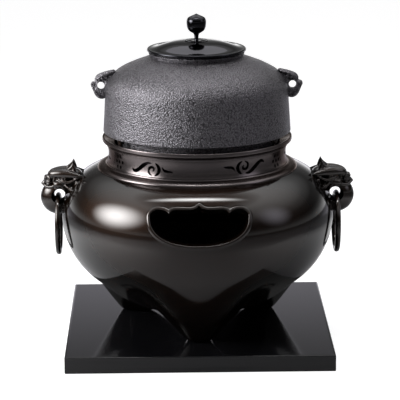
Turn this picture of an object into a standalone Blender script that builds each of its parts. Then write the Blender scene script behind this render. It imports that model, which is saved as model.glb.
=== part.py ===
"""A tea ceremony brazier: a bronze bowl on three feet, its kettle and its lacquered board.

Metres, +Z up. The front, with the fire window, faces -Y. The origin is the middle of the
board's underside.
"""

import math

import bmesh
import bpy
from mathutils import Matrix, Vector

# Clearances
FIT = 0.0003
MERGE = 0.00001

# Board
BOARD_SIDE = 0.288
BOARD_THICK = 0.018
BOARD_EDGE = 0.001

# Bowl: a shoulder arc above the widest line and a larger arc below it
BELLY_RADIUS = 0.150
SHOULDER_ARC = 0.0535
UNDER_ARC = 0.0867
BOWL_WALL = 0.004
BOWL_STEPS = 48
ARC_POINTS = 7
MOUTH_LIP = 0.002

# Fire window in the front of the bowl
WINDOW_HALF = 0.052
WINDOW_LOBE = 0.011
WINDOW_SPRING = 0.0265
WINDOW_DROP = 0.0285
WINDOW_LOBE_RISE = 0.0075
WINDOW_PEAK_RISE = 0.012
WINDOW_LOBE_SWEEP = 150
WINDOW_OVAL_POINTS = 17
WINDOW_LOBE_POINTS = 7
WINDOW_RISE_POINTS = 6

# Feet
FOOT_HEIGHT = 0.037
FOOT_CENTRE = 0.088
FOOT_TIP = 0.012
FOOT_TIP_ROUND = 0.002
FOOT_FLARE = 0.84
FOOT_DEPTH_TO_WIDTH = 0.5
FOOT_SINK = 0.038
FOOT_STEPS = 24

# Collar
SPIGOT_WALL = 0.0037
SPIGOT_DEPTH = 0.005
NECK_WALL = 0.0065
NECK_FLARE = 0.002
COLLAR_HEIGHT = 0.0325
FLANGE_REACH = 0.007
FLANGE_THICK = 0.0032
RIM_REACH = 0.0071
RIM_FACE = 0.0045
RIM_UNDER = 0.0045
RIM_EDGE = 0.0015
COLLAR_STEPS = 48

# Piercing of the collar
STROKE_POINTS = 6
SCROLL_WIDTH = 0.0031
DOT_RADIUS = 0.0014
DOT_RING = 0.0055
DOT_COUNT = 6
DOT_SIDES = 6

# Pins on the rim that carry the kettle
REST_HEIGHT = 0.0055
REST_RADIUS = 0.0036
REST_EDGE = 0.001
DOWEL_RADIUS = 0.002
DOWEL_DEPTH = 0.004

# Rivets that hold the lugs and the feet from inside
RIVET_RADIUS = 0.0022
RIVET_HEAD_RADIUS = 0.005
RIVET_HEAD_THICK = 0.0022
RIVET_GRIP = 0.007
RIVET_CROWN = 0.85
RIVET_STEPS = 10
MASK_UPPER_RIVET_ANGLE = 40
MASK_LOWER_RIVET_ANGLE = 4
FOOT_RIVET_INSET = 0.006

# Mask lugs, measured from the widest line of the bowl
MASK_HOLE_OUT = 0.0023
MASK_HOLE_UP = 0.021
MASK_HOLE_RADIUS = 0.0058
MASK_HALF_WIDTH = 0.024
MASK_UNIT = 0.001
MASK_VOXEL = 0.0015
MASK_KEEP = 0.10
LOOP_POINTS = 7
LOOP_STEPS = 24

# Rings
RING_WIRE = 0.0030
RING_RADIUS = 0.032
RING_PLAY = 0.0004
RING_SEAT_ANGLE = -45
RING_STEPS = 30
RING_SIDES = 8

# Fire: tile, ash and charcoal
TILE_RADIUS = 0.050
TILE_THICK = 0.007
ASH_DEPTH = 0.019
ASH_FLAT = 0.060
ASH_BANK = 0.014
COAL_RADIUS = 0.011
COAL_LENGTH = 0.040
COAL_START = 0.015
COAL_EDGE = 0.0012
COAL_SIDES = 14
COAL_COUNT = 3
FIRE_STEPS = 24

# Kettle
KETTLE_INSET = 0.0013
KETTLE_PLAY = 0.0025
KETTLE_WALL = 0.0045
KETTLE_TAPER = 0.0036
KETTLE_SIDE = 0.041
KETTLE_SHOULDER = 0.0405
KETTLE_SLOPE = 0.36
KETTLE_SLOPE_REACH = 0.64
KETTLE_TURN_REACH = 0.58
KETTLE_DEPTH = 0.076
KETTLE_SKIRT = 0.006
KETTLE_BOWL_FULLNESS = 0.8
KETTLE_BOWL_DROP = 1.1
KETTLE_EDGE = 0.0015
MOUTH_RADIUS = 0.048
MOUTH_WALL = 0.0045
MOUTH_HEIGHT = 0.0045
KETTLE_STEPS = 48
KETTLE_SIDE_POINTS = 7
KETTLE_BOWL_POINTS = 6
KETTLE_INSIDE_POINTS = 4

# Lugs of the kettle
KETTLE_LUG_UP = 0.050
KETTLE_LUG_OUT = 0.0046
KETTLE_LUG_HOLE = 0.0038
KETTLE_LUG_HALF_WIDTH = 0.008
KETTLE_LUG_UNIT = 0.001
KETTLE_LUG_VOXEL = 0.0011
KETTLE_LUG_KEEP = 0.11

# Lid
LID_OVERHANG = 0.0017
LID_RIM_THICK = 0.0042
LID_WALL = 0.003
LID_DOME = 0.0095
LID_FLAT = 0.0135
LID_TROUGH = 0.0045
LID_TROUGH_RISE = 0.0004
LID_CURVE = 1.8
LID_PLUG_DEPTH = 0.005
LID_PLUG_WALL = 0.0035
LID_PLUG_PLAY = 0.0006
LID_STEPS = 32
LID_POINTS = 5

# Knob of the lid
KNOB_HEIGHT = 0.0282
KNOB_RADIUS = 0.0106
KNOB_WIDEST = 0.0191
KNOB_STEM_RADIUS = 0.0024
KNOB_STEM_TOP = 0.006
KNOB_FOOT_RADIUS = 0.0042
KNOB_SHANK_RADIUS = 0.0021
SEAT_RADIUS = 0.013
SEAT_THICK = 0.002
WASHER_RADIUS = 0.009
WASHER_THICK = 0.0016
PEEN_RADIUS = 0.0042
PEEN_THICK = 0.0018
KNOB_STEPS = 16
KNOB_POINTS = 6

# Heights and radii that follow from the sizes above
FOOT_BASE = BOARD_THICK + FIT
BOWL_FLOOR = BOARD_THICK + FOOT_HEIGHT
BELLY_HEIGHT = BOWL_FLOOR + UNDER_ARC
SHOULDER_CENTRE = BELLY_RADIUS - SHOULDER_ARC
UNDER_CENTRE = BELLY_RADIUS - UNDER_ARC
SHOULDER_TOP = BELLY_HEIGHT + SHOULDER_ARC
BOWL_MOUTH = SHOULDER_CENTRE - MOUTH_LIP
INNER_FLOOR = BOWL_FLOOR + BOWL_WALL
COLLAR_BASE = SHOULDER_TOP + FIT
RIM_TOP = COLLAR_BASE + COLLAR_HEIGHT
SPIGOT_RADIUS = BOWL_MOUTH - FIT
NECK_BORE = SPIGOT_RADIUS - SPIGOT_WALL
NECK_RADIUS = NECK_BORE + NECK_WALL
RIM_RADIUS = NECK_RADIUS + RIM_REACH
FLANGE_RADIUS = NECK_RADIUS + FLANGE_REACH
KETTLE_RADIUS = RIM_RADIUS - KETTLE_INSET
KETTLE_BOWL_RADIUS = NECK_BORE - KETTLE_PLAY
REST_CENTRE = (KETTLE_BOWL_RADIUS + KETTLE_RADIUS) / 2
KETTLE_SEAT = RIM_TOP + REST_HEIGHT + FIT
KETTLE_BREAK = KETTLE_RADIUS - KETTLE_TAPER
MOUTH_OUTER = MOUTH_RADIUS + MOUTH_WALL
MOUTH_BASE = KETTLE_SIDE + KETTLE_SHOULDER
MOUTH_TOP = MOUTH_BASE + MOUTH_HEIGHT
LID_SEAT = KETTLE_SEAT + MOUTH_TOP + FIT
LID_RADIUS = MOUTH_OUTER + LID_OVERHANG
LID_TOP = LID_RIM_THICK + LID_DOME
SHANK_HOLE = KNOB_SHANK_RADIUS + FIT
RIVET_HOLE = RIVET_RADIUS + FIT
TILE_TOP = INNER_FLOOR + FIT + TILE_THICK
ASH_TOP = TILE_TOP + FIT + ASH_DEPTH
RING_SEAT = MASK_HOLE_RADIUS - RING_WIRE - RING_PLAY

FRONT = -90
FOOT_AZIMUTHS = {"front": -90, "left_rear": 150, "right_rear": 30}
REST_AZIMUTHS = {"left": -150, "right": -30, "rear": 90}
SCROLL_AZIMUTHS = (-150, -90, -30, 30, 90, 150)
DOT_AZIMUTHS = (-120, -60, 60, 120)
SIDES = {"left": math.pi, "right": 0.0}


def clear_scene():
    for obj in list(bpy.data.objects):
        bpy.data.objects.remove(obj, do_unlink=True)


def collection(name, is_hidden):
    made = bpy.data.collections.new(name)
    bpy.context.scene.collection.children.link(made)
    made.hide_render = is_hidden
    return made


def finish(name, colour, roughness, metallic):
    material = bpy.data.materials.new(name)
    material.use_nodes = True
    shader = material.node_tree.nodes["Principled BSDF"]
    shader.inputs["Base Color"].default_value = (*colour, 1.0)
    shader.inputs["Roughness"].default_value = roughness
    shader.inputs["Metallic"].default_value = metallic
    return material


def arc(centre, radius, start, end, count):
    """Points of an arc from one angle to another, in degrees."""
    angles = [math.radians(start + (end - start) * i / (count - 1)) for i in range(count)]
    return [(centre[0] + radius * math.cos(a), centre[1] + radius * math.sin(a)) for a in angles]


def bezier(p0, p1, p2, p3, count):
    """Points of a cubic curve with two end points and two handles."""
    points = []
    for i in range(count):
        t = i / (count - 1)
        u = 1 - t
        weights = (u**3, 3 * u * u * t, 3 * u * t * t, t**3)
        ends = (p0, p1, p2, p3)
        points.append(tuple(sum(w * p[k] for w, p in zip(weights, ends)) for k in (0, 1)))
    return points


def add_part(name, data, material, parent=None, matrix=None):
    obj = bpy.data.objects.new(name, data)
    PARTS.objects.link(obj)
    obj.data.materials.append(material)
    obj.parent = parent
    if matrix is not None:
        obj.matrix_local = matrix
    return obj


def add_cutter(name, data, matrix=None):
    obj = bpy.data.objects.new(name, data)
    CUTTERS.objects.link(obj)
    obj.hide_render = True
    obj.display_type = "WIRE"
    if matrix is not None:
        obj.matrix_world = matrix
    return obj


def add_empty(name, height, parent):
    obj = bpy.data.objects.new(name, None)
    PARTS.objects.link(obj)
    obj.parent = parent
    obj.location = (0, 0, height)
    return obj


def outline_mesh(name, outline, is_closed):
    mesh = bpy.data.meshes.new(name)
    edges = [(i, i + 1) for i in range(len(outline) - 1)]
    if is_closed:
        edges.append((len(outline) - 1, 0))
    mesh.from_pydata([(r, 0, z) for r, z in outline], edges, [])
    return mesh


def turn(obj, steps):
    """Turns the object's outline about its own Z axis."""
    screw = obj.modifiers.new("Turn", "SCREW")
    screw.steps = steps
    screw.render_steps = steps
    screw.use_merge_vertices = True
    screw.merge_threshold = MERGE
    return obj


def cut(obj, cutter, operation="DIFFERENCE"):
    boolean = obj.modifiers.new("Cut " + cutter.name, "BOOLEAN")
    boolean.operation = operation
    boolean.solver = "EXACT"
    boolean.object = cutter
    return obj


def shaded(mesh, angle=35):
    mesh.shade_smooth()
    mesh.set_sharp_from_angle(angle=math.radians(angle))
    return mesh


def mesh_of(name, bm):
    mesh = bpy.data.meshes.new(name)
    bm.to_mesh(mesh)
    bm.free()
    return mesh


def prism(name, outline, half_depth):
    """A flat outline in X and Y, thickened along Z both ways, as a closed mesh."""
    curve = bpy.data.curves.new(name, "CURVE")
    curve.dimensions = "2D"
    curve.fill_mode = "BOTH"
    curve.extrude = half_depth
    spline = curve.splines.new("POLY")
    spline.points.add(len(outline) - 1)
    for point, (x, y) in zip(spline.points, outline):
        point.co = (x, y, 0, 1)
    spline.use_cyclic_u = True
    guide = bpy.data.objects.new(name + "_guide", curve)
    CUTTERS.objects.link(guide)
    graph = bpy.context.evaluated_depsgraph_get()
    mesh = bpy.data.meshes.new_from_object(guide.evaluated_get(graph))
    bpy.data.objects.remove(guide, do_unlink=True)
    bm = bmesh.new()
    bm.from_mesh(mesh)
    bmesh.ops.remove_doubles(bm, verts=bm.verts, dist=MERGE)
    bmesh.ops.recalc_face_normals(bm, faces=bm.faces)
    bm.to_mesh(mesh)
    bm.free()
    return mesh


def rod(name, radius, low, high, sides):
    """A plain round bar along Z between two heights."""
    bm = bmesh.new()
    bmesh.ops.create_cone(
        bm,
        cap_ends=True,
        segments=sides,
        radius1=radius,
        radius2=radius,
        depth=high - low,
        matrix=Matrix.Translation((0, 0, (high + low) / 2)),
    )
    return mesh_of(name, bm)


def blob(bm, centre, half_sizes, tilt=0.0, segments=20):
    """Adds an ellipsoid, tilted about the Y axis by a number of degrees."""
    matrix = (
        Matrix.Translation(centre)
        @ Matrix.Rotation(math.radians(tilt), 4, "Y")
        @ Matrix.Diagonal((*half_sizes, 1.0))
    )
    bmesh.ops.create_uvsphere(bm, u_segments=segments, v_segments=12, radius=1.0, matrix=matrix)


def horn(bm, base, tip, base_radius, tip_radius):
    """Adds a blunt cone from one point to another."""
    start = Vector(base)
    along = Vector(tip) - start
    matrix = Matrix.Translation(start + along / 2) @ along.to_track_quat("Z", "Y").to_matrix().to_4x4()
    bmesh.ops.create_cone(
        bm,
        cap_ends=True,
        segments=12,
        radius1=base_radius,
        radius2=tip_radius,
        depth=along.length,
        matrix=matrix,
    )


def fuse(obj, voxel, keep):
    """Melts overlapping forms into one skin with few faces."""
    remesh = obj.modifiers.new("Fuse", "REMESH")
    remesh.mode = "VOXEL"
    remesh.voxel_size = voxel
    smooth = obj.modifiers.new("Soften", "SMOOTH")
    smooth.iterations = 2
    thin = obj.modifiers.new("Thin", "DECIMATE")
    thin.ratio = keep
    return obj


def make_board():
    bm = bmesh.new()
    size = Matrix.Diagonal((BOARD_SIDE, BOARD_SIDE, BOARD_THICK, 1.0))
    bmesh.ops.create_cube(bm, size=1.0, matrix=Matrix.Translation((0, 0, BOARD_THICK / 2)) @ size)
    board = add_part("base_board", mesh_of("base_board", bm), LACQUER, ROOT)
    bevel = board.modifiers.new("Round edges", "BEVEL")
    bevel.width = min(BOARD_EDGE, BOARD_THICK / 3)
    bevel.segments = 2
    return board


def bowl_side(offset):
    """The outside of the bowl from the mouth to the floor, moved outwards by an offset."""
    shoulder = arc((SHOULDER_CENTRE, BELLY_HEIGHT), SHOULDER_ARC + offset, 90, 0, ARC_POINTS)
    under = arc((UNDER_CENTRE, BELLY_HEIGHT), UNDER_ARC + offset, 0, -90, ARC_POINTS)
    return shoulder + under[1:]


def bowl_space(name, offset):
    """The bowl's outside filled in, moved outwards by an offset: what its neighbours are cut to."""
    side = bowl_side(offset)
    outline = [(0, side[0][1])] + side + [(0, side[-1][1])]
    return turn(add_cutter(name, outline_mesh(name, outline, False)), BOWL_STEPS)


def wall_place(arc_centre, radius, angle, azimuth):
    """A place on the bowl's inner wall, with Z pointing out through the wall."""
    a = math.radians(angle)
    spot = (arc_centre + radius * math.cos(a), 0, BELLY_HEIGHT + radius * math.sin(a))
    lean = Matrix.Rotation(math.pi / 2 - a, 4, "Y")
    return Matrix.Rotation(math.radians(azimuth), 4, "Z") @ Matrix.Translation(spot) @ lean


def rivet_places():
    """Each rivet's name and its place on the inner wall."""
    places = {}
    for side, turned in SIDES.items():
        for level, angle in (("upper", MASK_UPPER_RIVET_ANGLE), ("lower", MASK_LOWER_RIVET_ANGLE)):
            inner = SHOULDER_ARC - BOWL_WALL
            place = wall_place(SHOULDER_CENTRE, inner, angle, math.degrees(turned))
            places[f"{side}_mask_{level}_rivet"] = place
    inner = UNDER_ARC - BOWL_WALL
    reach = FOOT_CENTRE - FOOT_RIVET_INSET - UNDER_CENTRE
    angle = -90 + math.degrees(math.asin(reach / UNDER_ARC))
    for foot, azimuth in FOOT_AZIMUTHS.items():
        places[f"{foot}_foot_rivet"] = wall_place(UNDER_CENTRE, inner, angle, azimuth)
    return places


def rivet_sag():
    """How far a flat head stands off the hollow wall, so that its edge clears the facets."""
    half_facet = math.pi / 4 / (ARC_POINTS - 1)
    return RIVET_HEAD_RADIUS * math.tan(half_facet) + FIT


def make_rivets():
    """The rivets, with the holes that they sit in, by name."""
    seat = -rivet_sag()
    tip = BOWL_WALL + RIVET_GRIP
    outline = [
        (0, tip),
        (RIVET_RADIUS, tip),
        (RIVET_RADIUS, seat),
        (RIVET_HEAD_RADIUS, seat),
        (RIVET_HEAD_RADIUS * RIVET_CROWN, seat - RIVET_HEAD_THICK / 2),
        (RIVET_HEAD_RADIUS / 2, seat - RIVET_HEAD_THICK),
        (0, seat - RIVET_HEAD_THICK),
    ]
    holes = {}
    for name, place in rivet_places().items():
        turn(add_part(name, outline_mesh(name, outline, False), BRONZE, ROOT, place), RIVET_STEPS)
        hole = rod(name + "_hole", RIVET_HOLE, seat, tip + FIT, RIVET_STEPS)
        holes[name] = add_cutter(name + "_hole", hole, place)
    return holes


def window_outline():
    """The fire window seen from the front: a half oval below, two lobes and a peak above."""
    spring = BELLY_HEIGHT + WINDOW_SPRING
    oval = [
        (WINDOW_HALF * x, spring + WINDOW_DROP * y)
        for x, y in arc((0, 0), 1.0, -180, 0, WINDOW_OVAL_POINTS)
    ]
    lobe_centre = WINDOW_HALF - WINDOW_LOBE
    lobe = [
        (lobe_centre + WINDOW_LOBE * x, spring + WINDOW_LOBE_RISE * y)
        for x, y in arc((0, 0), 1.0, 0, WINDOW_LOBE_SWEEP, WINDOW_LOBE_POINTS)
    ]
    cusp = lobe[-1]
    peak = (0, spring + WINDOW_PEAK_RISE)
    climb = (0.72 * cusp[0], 0.4 * cusp[1] + 0.6 * peak[1])
    level = (0.4 * cusp[0], peak[1])
    rise = bezier(cusp, climb, level, peak, WINDOW_RISE_POINTS)
    right = lobe[1:] + rise[1:]
    left = [(-x, z) for x, z in reversed(right[:-1])]
    return oval + right + left


def make_bowl(holes):
    inside = list(reversed(bowl_side(-BOWL_WALL)))
    outline = [(0, INNER_FLOOR)] + inside
    outline += [(BOWL_MOUTH, SHOULDER_TOP - BOWL_WALL), (BOWL_MOUTH, SHOULDER_TOP)]
    outline += bowl_side(0) + [(0, BOWL_FLOOR)]
    bowl = add_part("brazier_bowl", outline_mesh("brazier_bowl", outline, False), BRONZE, ROOT)
    turn(bowl, BOWL_STEPS)
    depth = BELLY_RADIUS / 4
    place = Matrix.Translation((0, -BELLY_RADIUS, 0)) @ Matrix.Rotation(math.pi / 2, 4, "X")
    cut(bowl, add_cutter("fire_window", prism("fire_window", window_outline(), depth), place))
    for hole in holes.values():
        cut(bowl, hole)
    return bowl


def make_feet(space, holes):
    """Three breast-shaped feet, turned, pressed flat towards the axis and cut to the bowl."""
    top = FOOT_HEIGHT + FOOT_SINK
    outline = [
        (0, top),
        (FOOT_TIP + FOOT_FLARE * top, top),
        (FOOT_TIP + FOOT_FLARE * FOOT_HEIGHT, FOOT_HEIGHT),
        (FOOT_TIP, FOOT_TIP_ROUND),
        (FOOT_TIP - FOOT_TIP_ROUND, 0),
        (0, 0),
    ]
    flat = Matrix.Diagonal((FOOT_DEPTH_TO_WIDTH, 1.0, 1.0, 1.0))
    for name, azimuth in FOOT_AZIMUTHS.items():
        about = Matrix.Rotation(math.radians(azimuth), 4, "Z")
        place = about @ Matrix.Translation((FOOT_CENTRE, 0, FOOT_BASE))
        node = name + "_foot"
        foot = add_part(node, outline_mesh(node, outline, False), BRONZE, ROOT, place @ flat)
        turn(foot, FOOT_STEPS)
        cut(foot, space)
        cut(foot, holes[node + "_rivet"])


def stroke(path, width):
    """The closed outline of a brush stroke along a curve, pointed at both ends."""
    spine = [Vector(p) for p in bezier(*path, STROKE_POINTS)]
    left, right = [], []
    for i in range(1, len(spine) - 1):
        along = (spine[i + 1] - spine[i - 1]).normalized()
        half = width / 2 * math.sqrt(math.sin(math.pi * i / (len(spine) - 1)))
        across = Vector((-along.y, along.x)) * half
        left.append(tuple(spine[i] + across))
        right.append(tuple(spine[i] - across))
    return [tuple(spine[0])] + right + [tuple(spine[-1])] + list(reversed(left))


def scroll_outlines(band_height):
    """A scroll of four brush strokes, drawn in shares of the height of its band."""
    tail = ((-1.31, -0.09), (-0.94, -0.47), (-0.62, 0.52), (-0.04, 0.34))
    curl = ((0.07, 0.05), (-0.37, 0.22), (-0.42, -0.30), (-0.02, -0.33))
    crescent = ((0.22, 0.35), (0.54, 0.22), (0.54, -0.20), (0.19, -0.33))
    leaf = ((0.63, 0.13), (0.74, -0.16), (0.94, -0.02), (1.25, -0.11))
    outlines = []
    for path in (tail, curl, crescent, leaf):
        handles = [(band_height * x, band_height * y) for x, y in path]
        outlines.append(stroke(handles, SCROLL_WIDTH))
    return outlines


def dot_outlines():
    """A round dot with a ring of dots about it."""
    centres = [(0, 0)]
    for i in range(DOT_COUNT):
        a = 2 * math.pi * i / DOT_COUNT
        centres.append((DOT_RING * math.cos(a), DOT_RING * math.sin(a)))
    step = 360 / DOT_SIDES
    return [arc(centre, DOT_RADIUS, 0, 360 - step, DOT_SIDES) for centre in centres]


def piercing():
    """All the cuts in the neck band, joined in one cutter."""
    low = COLLAR_BASE + FLANGE_THICK
    high = RIM_TOP - RIM_FACE - RIM_UNDER
    bm = bmesh.new()
    figures = [(azimuth, scroll_outlines(high - low)) for azimuth in SCROLL_AZIMUTHS]
    figures += [(azimuth, dot_outlines()) for azimuth in DOT_AZIMUTHS]
    upright = Matrix(((0, 0, 1, 0), (1, 0, 0, 0), (0, 1, 0, 0), (0, 0, 0, 1)))
    for azimuth, outlines in figures:
        about = Matrix.Rotation(math.radians(azimuth + FRONT), 4, "Z")
        place = about @ Matrix.Translation((NECK_BORE, 0, (low + high) / 2)) @ upright
        if azimuth > 0:
            place = place @ Matrix.Rotation(math.pi, 4, "Z")
        for outline in outlines:
            mesh = prism("piercing", outline, 2 * NECK_WALL)
            mesh.transform(place)
            bm.from_mesh(mesh)
            bpy.data.meshes.remove(mesh)
    return add_cutter("collar_piercing", mesh_of("collar_piercing", bm))


def rest_place(azimuth):
    about = Matrix.Rotation(math.radians(azimuth), 4, "Z")
    return about @ Matrix.Translation((REST_CENTRE, 0, RIM_TOP))


def make_collar():
    flange_top = COLLAR_BASE + FLANGE_THICK
    rim_low = RIM_TOP - RIM_FACE
    waist = (flange_top + rim_low - RIM_UNDER) / 2
    outline = [
        (RIM_RADIUS - RIM_EDGE, RIM_TOP),
        (RIM_RADIUS, RIM_TOP - RIM_EDGE),
        (RIM_RADIUS, rim_low),
        (NECK_RADIUS + NECK_FLARE, rim_low - RIM_UNDER / 2),
        (NECK_RADIUS + NECK_FLARE / 2, rim_low - RIM_UNDER),
        (NECK_RADIUS, waist),
        (NECK_RADIUS + NECK_FLARE, flange_top),
        (FLANGE_RADIUS - RIM_EDGE, flange_top),
        (FLANGE_RADIUS, flange_top - FLANGE_THICK / 2),
        (FLANGE_RADIUS - RIM_EDGE, COLLAR_BASE),
        (SPIGOT_RADIUS, COLLAR_BASE),
        (SPIGOT_RADIUS, COLLAR_BASE - SPIGOT_DEPTH),
        (NECK_BORE, COLLAR_BASE - SPIGOT_DEPTH),
        (NECK_BORE, RIM_TOP),
    ]
    collar = add_part("neck_collar", outline_mesh("neck_collar", outline, True), BRONZE, ROOT)
    turn(collar, COLLAR_STEPS)
    cut(collar, piercing())
    for name, azimuth in REST_AZIMUTHS.items():
        node = name + "_rest_hole"
        hole = rod(node, DOWEL_RADIUS + FIT, -DOWEL_DEPTH - FIT, DOWEL_DEPTH, RIVET_STEPS)
        cut(collar, add_cutter(node, hole, rest_place(azimuth)))
    return collar


def make_rests():
    """Three pins in the rim that hold the kettle clear of it."""
    outline = [
        (0, REST_HEIGHT),
        (REST_RADIUS - REST_EDGE, REST_HEIGHT),
        (REST_RADIUS, REST_HEIGHT - REST_EDGE),
        (REST_RADIUS, FIT),
        (DOWEL_RADIUS, FIT),
        (DOWEL_RADIUS, -DOWEL_DEPTH),
        (0, -DOWEL_DEPTH),
    ]
    for name, azimuth in REST_AZIMUTHS.items():
        node = name + "_rest_pin"
        pin = add_part(node, outline_mesh(node, outline, False), BRONZE, ROOT, rest_place(azimuth))
        turn(pin, RIVET_STEPS)


def ring_hole(name, radius, half_width, curve, place):
    """A round hole along Y whose mouth opens out to follow a ring that hangs in it."""
    offsets = [half_width * (1 - 2 * i / (LOOP_POINTS - 1)) for i in range(LOOP_POINTS)]
    side = [(radius + (curve - math.sqrt(curve**2 - y**2)), y) for y in offsets]
    outline = [(0, half_width)] + side + [(0, -half_width)]
    along_y = Matrix.Rotation(-math.pi / 2, 4, "X")
    return turn(add_cutter(name, outline_mesh(name, outline, False), place @ along_y), LOOP_STEPS)


def mask_forms():
    """A beast head facing +X, drawn in mask units from the widest line of the bowl."""
    bm = bmesh.new()
    blob(bm, (-6, 0, 34), (22, 19, 16))
    blob(bm, (0, 0, 43.5), (14.5, 15, 9), -18)
    blob(bm, (-15, 0, 40), (12, 18, 10), -40)
    blob(bm, (16, 0, 36.5), (7.5, 6.2, 6.2), 20)
    blob(bm, (11.5, 0, 31.5), (10.5, 11, 4.2), 6)
    blob(bm, (3.5, 0, 18.8), (18.5, 9.5, 18.6), segments=28)
    for side in (-1, 1):
        blob(bm, (7.5, side * 9.5, 42.5), (7.5, 6, 4.2), 30)
        blob(bm, (8.5, side * 11, 36), (4.2, 4.2, 4.2))
        blob(bm, (19.5, side * 4.2, 34.5), (3.4, 3.4, 3.4))
        blob(bm, (-1, side * 15, 28), (10, 5.5, 8), -20)
        blob(bm, (-13, side * 18.5, 35), (7.5, 5.5, 8.5), -40)
        horn(bm, (-11, side * 9.5, 45), (-15, side * 12, 59.2), 5.5, 1.2)
    bmesh.ops.scale(bm, vec=(MASK_UNIT,) * 3, verts=bm.verts)
    return bm


def make_masks(space, holes):
    for side, turned in SIDES.items():
        about = Matrix.Rotation(turned, 4, "Z")
        place = about @ Matrix.Translation((BELLY_RADIUS, 0, BELLY_HEIGHT))
        node = side + "_mask_lug"
        mask = add_part(node, mesh_of(node, mask_forms()), BRONZE, ROOT, place)
        fuse(mask, MASK_VOXEL, MASK_KEEP)
        cut(mask, space)
        spot = place @ Matrix.Translation((MASK_HOLE_OUT, 0, MASK_HOLE_UP))
        curve = RING_RADIUS - RING_WIRE
        cut(mask, ring_hole(node + "_hole", MASK_HOLE_RADIUS, MASK_HALF_WIDTH, curve, spot))
        for level in ("upper", "lower"):
            cut(mask, holes[f"{side}_mask_{level}_rivet"])


def make_rings():
    """Two rings, each with its origin where its wire turns in the mask."""
    a = math.radians(RING_SEAT_ANGLE)
    out = BELLY_RADIUS + MASK_HOLE_OUT + RING_SEAT * math.cos(a)
    height = BELLY_HEIGHT + MASK_HOLE_UP + RING_SEAT * math.sin(a)
    for side, turned in SIDES.items():
        bpy.ops.mesh.primitive_torus_add(
            major_radius=RING_RADIUS,
            minor_radius=RING_WIRE,
            major_segments=RING_STEPS,
            minor_segments=RING_SIDES,
        )
        ring = bpy.context.object
        ring.name = side + "_ring"
        ring.data.name = ring.name
        hang = Matrix.Translation((0, 0, -RING_RADIUS)) @ Matrix.Rotation(math.pi / 2, 4, "Y")
        ring.data.transform(hang)
        for holder in list(ring.users_collection):
            holder.objects.unlink(ring)
        PARTS.objects.link(ring)
        shaded(ring.data).materials.append(BRONZE)
        ring.parent = ROOT
        ring.matrix_local = Matrix.Rotation(turned, 4, "Z") @ Matrix.Translation((out, 0, height))


def make_fire():
    """The tile on the bowl's floor, the ash over it and three sticks of charcoal."""
    tile = rod("floor_tile", TILE_RADIUS, INNER_FLOOR + FIT, TILE_TOP, FIRE_STEPS)
    add_part("floor_tile", shaded(tile), CLAY, ROOT)
    outline = [
        (0, ASH_TOP),
        (ASH_FLAT, ASH_TOP),
        (BELLY_RADIUS, ASH_TOP + ASH_BANK),
        (BELLY_RADIUS, BOWL_FLOOR),
        (TILE_RADIUS + FIT, BOWL_FLOOR),
        (TILE_RADIUS + FIT, TILE_TOP + FIT),
        (0, TILE_TOP + FIT),
    ]
    ash = add_part("ash_bed", outline_mesh("ash_bed", outline, False), ASH, ROOT)
    turn(ash, BOWL_STEPS)
    cut(ash, bowl_space("hearth_space", -BOWL_WALL - FIT), "INTERSECT")
    for name, place in rivet_places().items():
        if "foot" in name:
            depth = RIVET_HEAD_THICK + rivet_sag() + FIT
            room = rod(name + "_room", RIVET_HEAD_RADIUS + FIT, -depth, BOWL_WALL, RIVET_STEPS)
            cut(ash, add_cutter(name + "_room", room, place))
    for i in range(COAL_COUNT):
        azimuth = math.radians(FRONT + 360 * (i + 0.5) / COAL_COUNT)
        height = ASH_TOP + FIT + COAL_RADIUS
        place = Matrix.Rotation(azimuth, 4, "Z") @ Matrix.Translation((COAL_START, 0, height))
        place = place @ Matrix.Rotation(math.pi / 2, 4, "Y")
        node = f"charcoal_{i + 1}"
        stick = rod(node, COAL_RADIUS, 0, COAL_LENGTH, COAL_SIDES)
        coal = add_part(node, stick, CHARCOAL, ROOT, place)
        bevel = coal.modifiers.new("Worn ends", "BEVEL")
        bevel.width = COAL_EDGE
        bevel.segments = 1


def kettle_side(offset, count=KETTLE_SIDE_POINTS):
    """The kettle's outside from the mouth's foot to the bottom of its wall, moved outwards."""
    reach = KETTLE_SLOPE_REACH * (KETTLE_BREAK - MOUTH_OUTER)
    start = (MOUTH_OUTER + offset, MOUTH_BASE)
    end = (KETTLE_BREAK + offset, KETTLE_SIDE)
    near = (start[0] + reach, start[1] + offset / 2 - KETTLE_SLOPE * reach)
    far = (end[0], end[1] + KETTLE_TURN_REACH * KETTLE_SHOULDER + offset / 2)
    return bezier(start, near, far, end, count) + [(KETTLE_RADIUS + offset, KETTLE_EDGE)]


def kettle_bowl(offset, count=KETTLE_BOWL_POINTS):
    """The kettle's round bottom, from the seat down to the axis, moved outwards."""
    radius = KETTLE_BOWL_RADIUS + offset
    depth = KETTLE_DEPTH - KETTLE_SKIRT + offset
    sweep = arc((0, 0), 1.0, 0, -90, count)
    points = []
    for x, y in sweep[:-1]:
        drop = depth * abs(y) ** KETTLE_BOWL_DROP
        points.append((radius * x**KETTLE_BOWL_FULLNESS, -KETTLE_SKIRT - drop))
    return points + [(0, -KETTLE_DEPTH - offset)]


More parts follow.
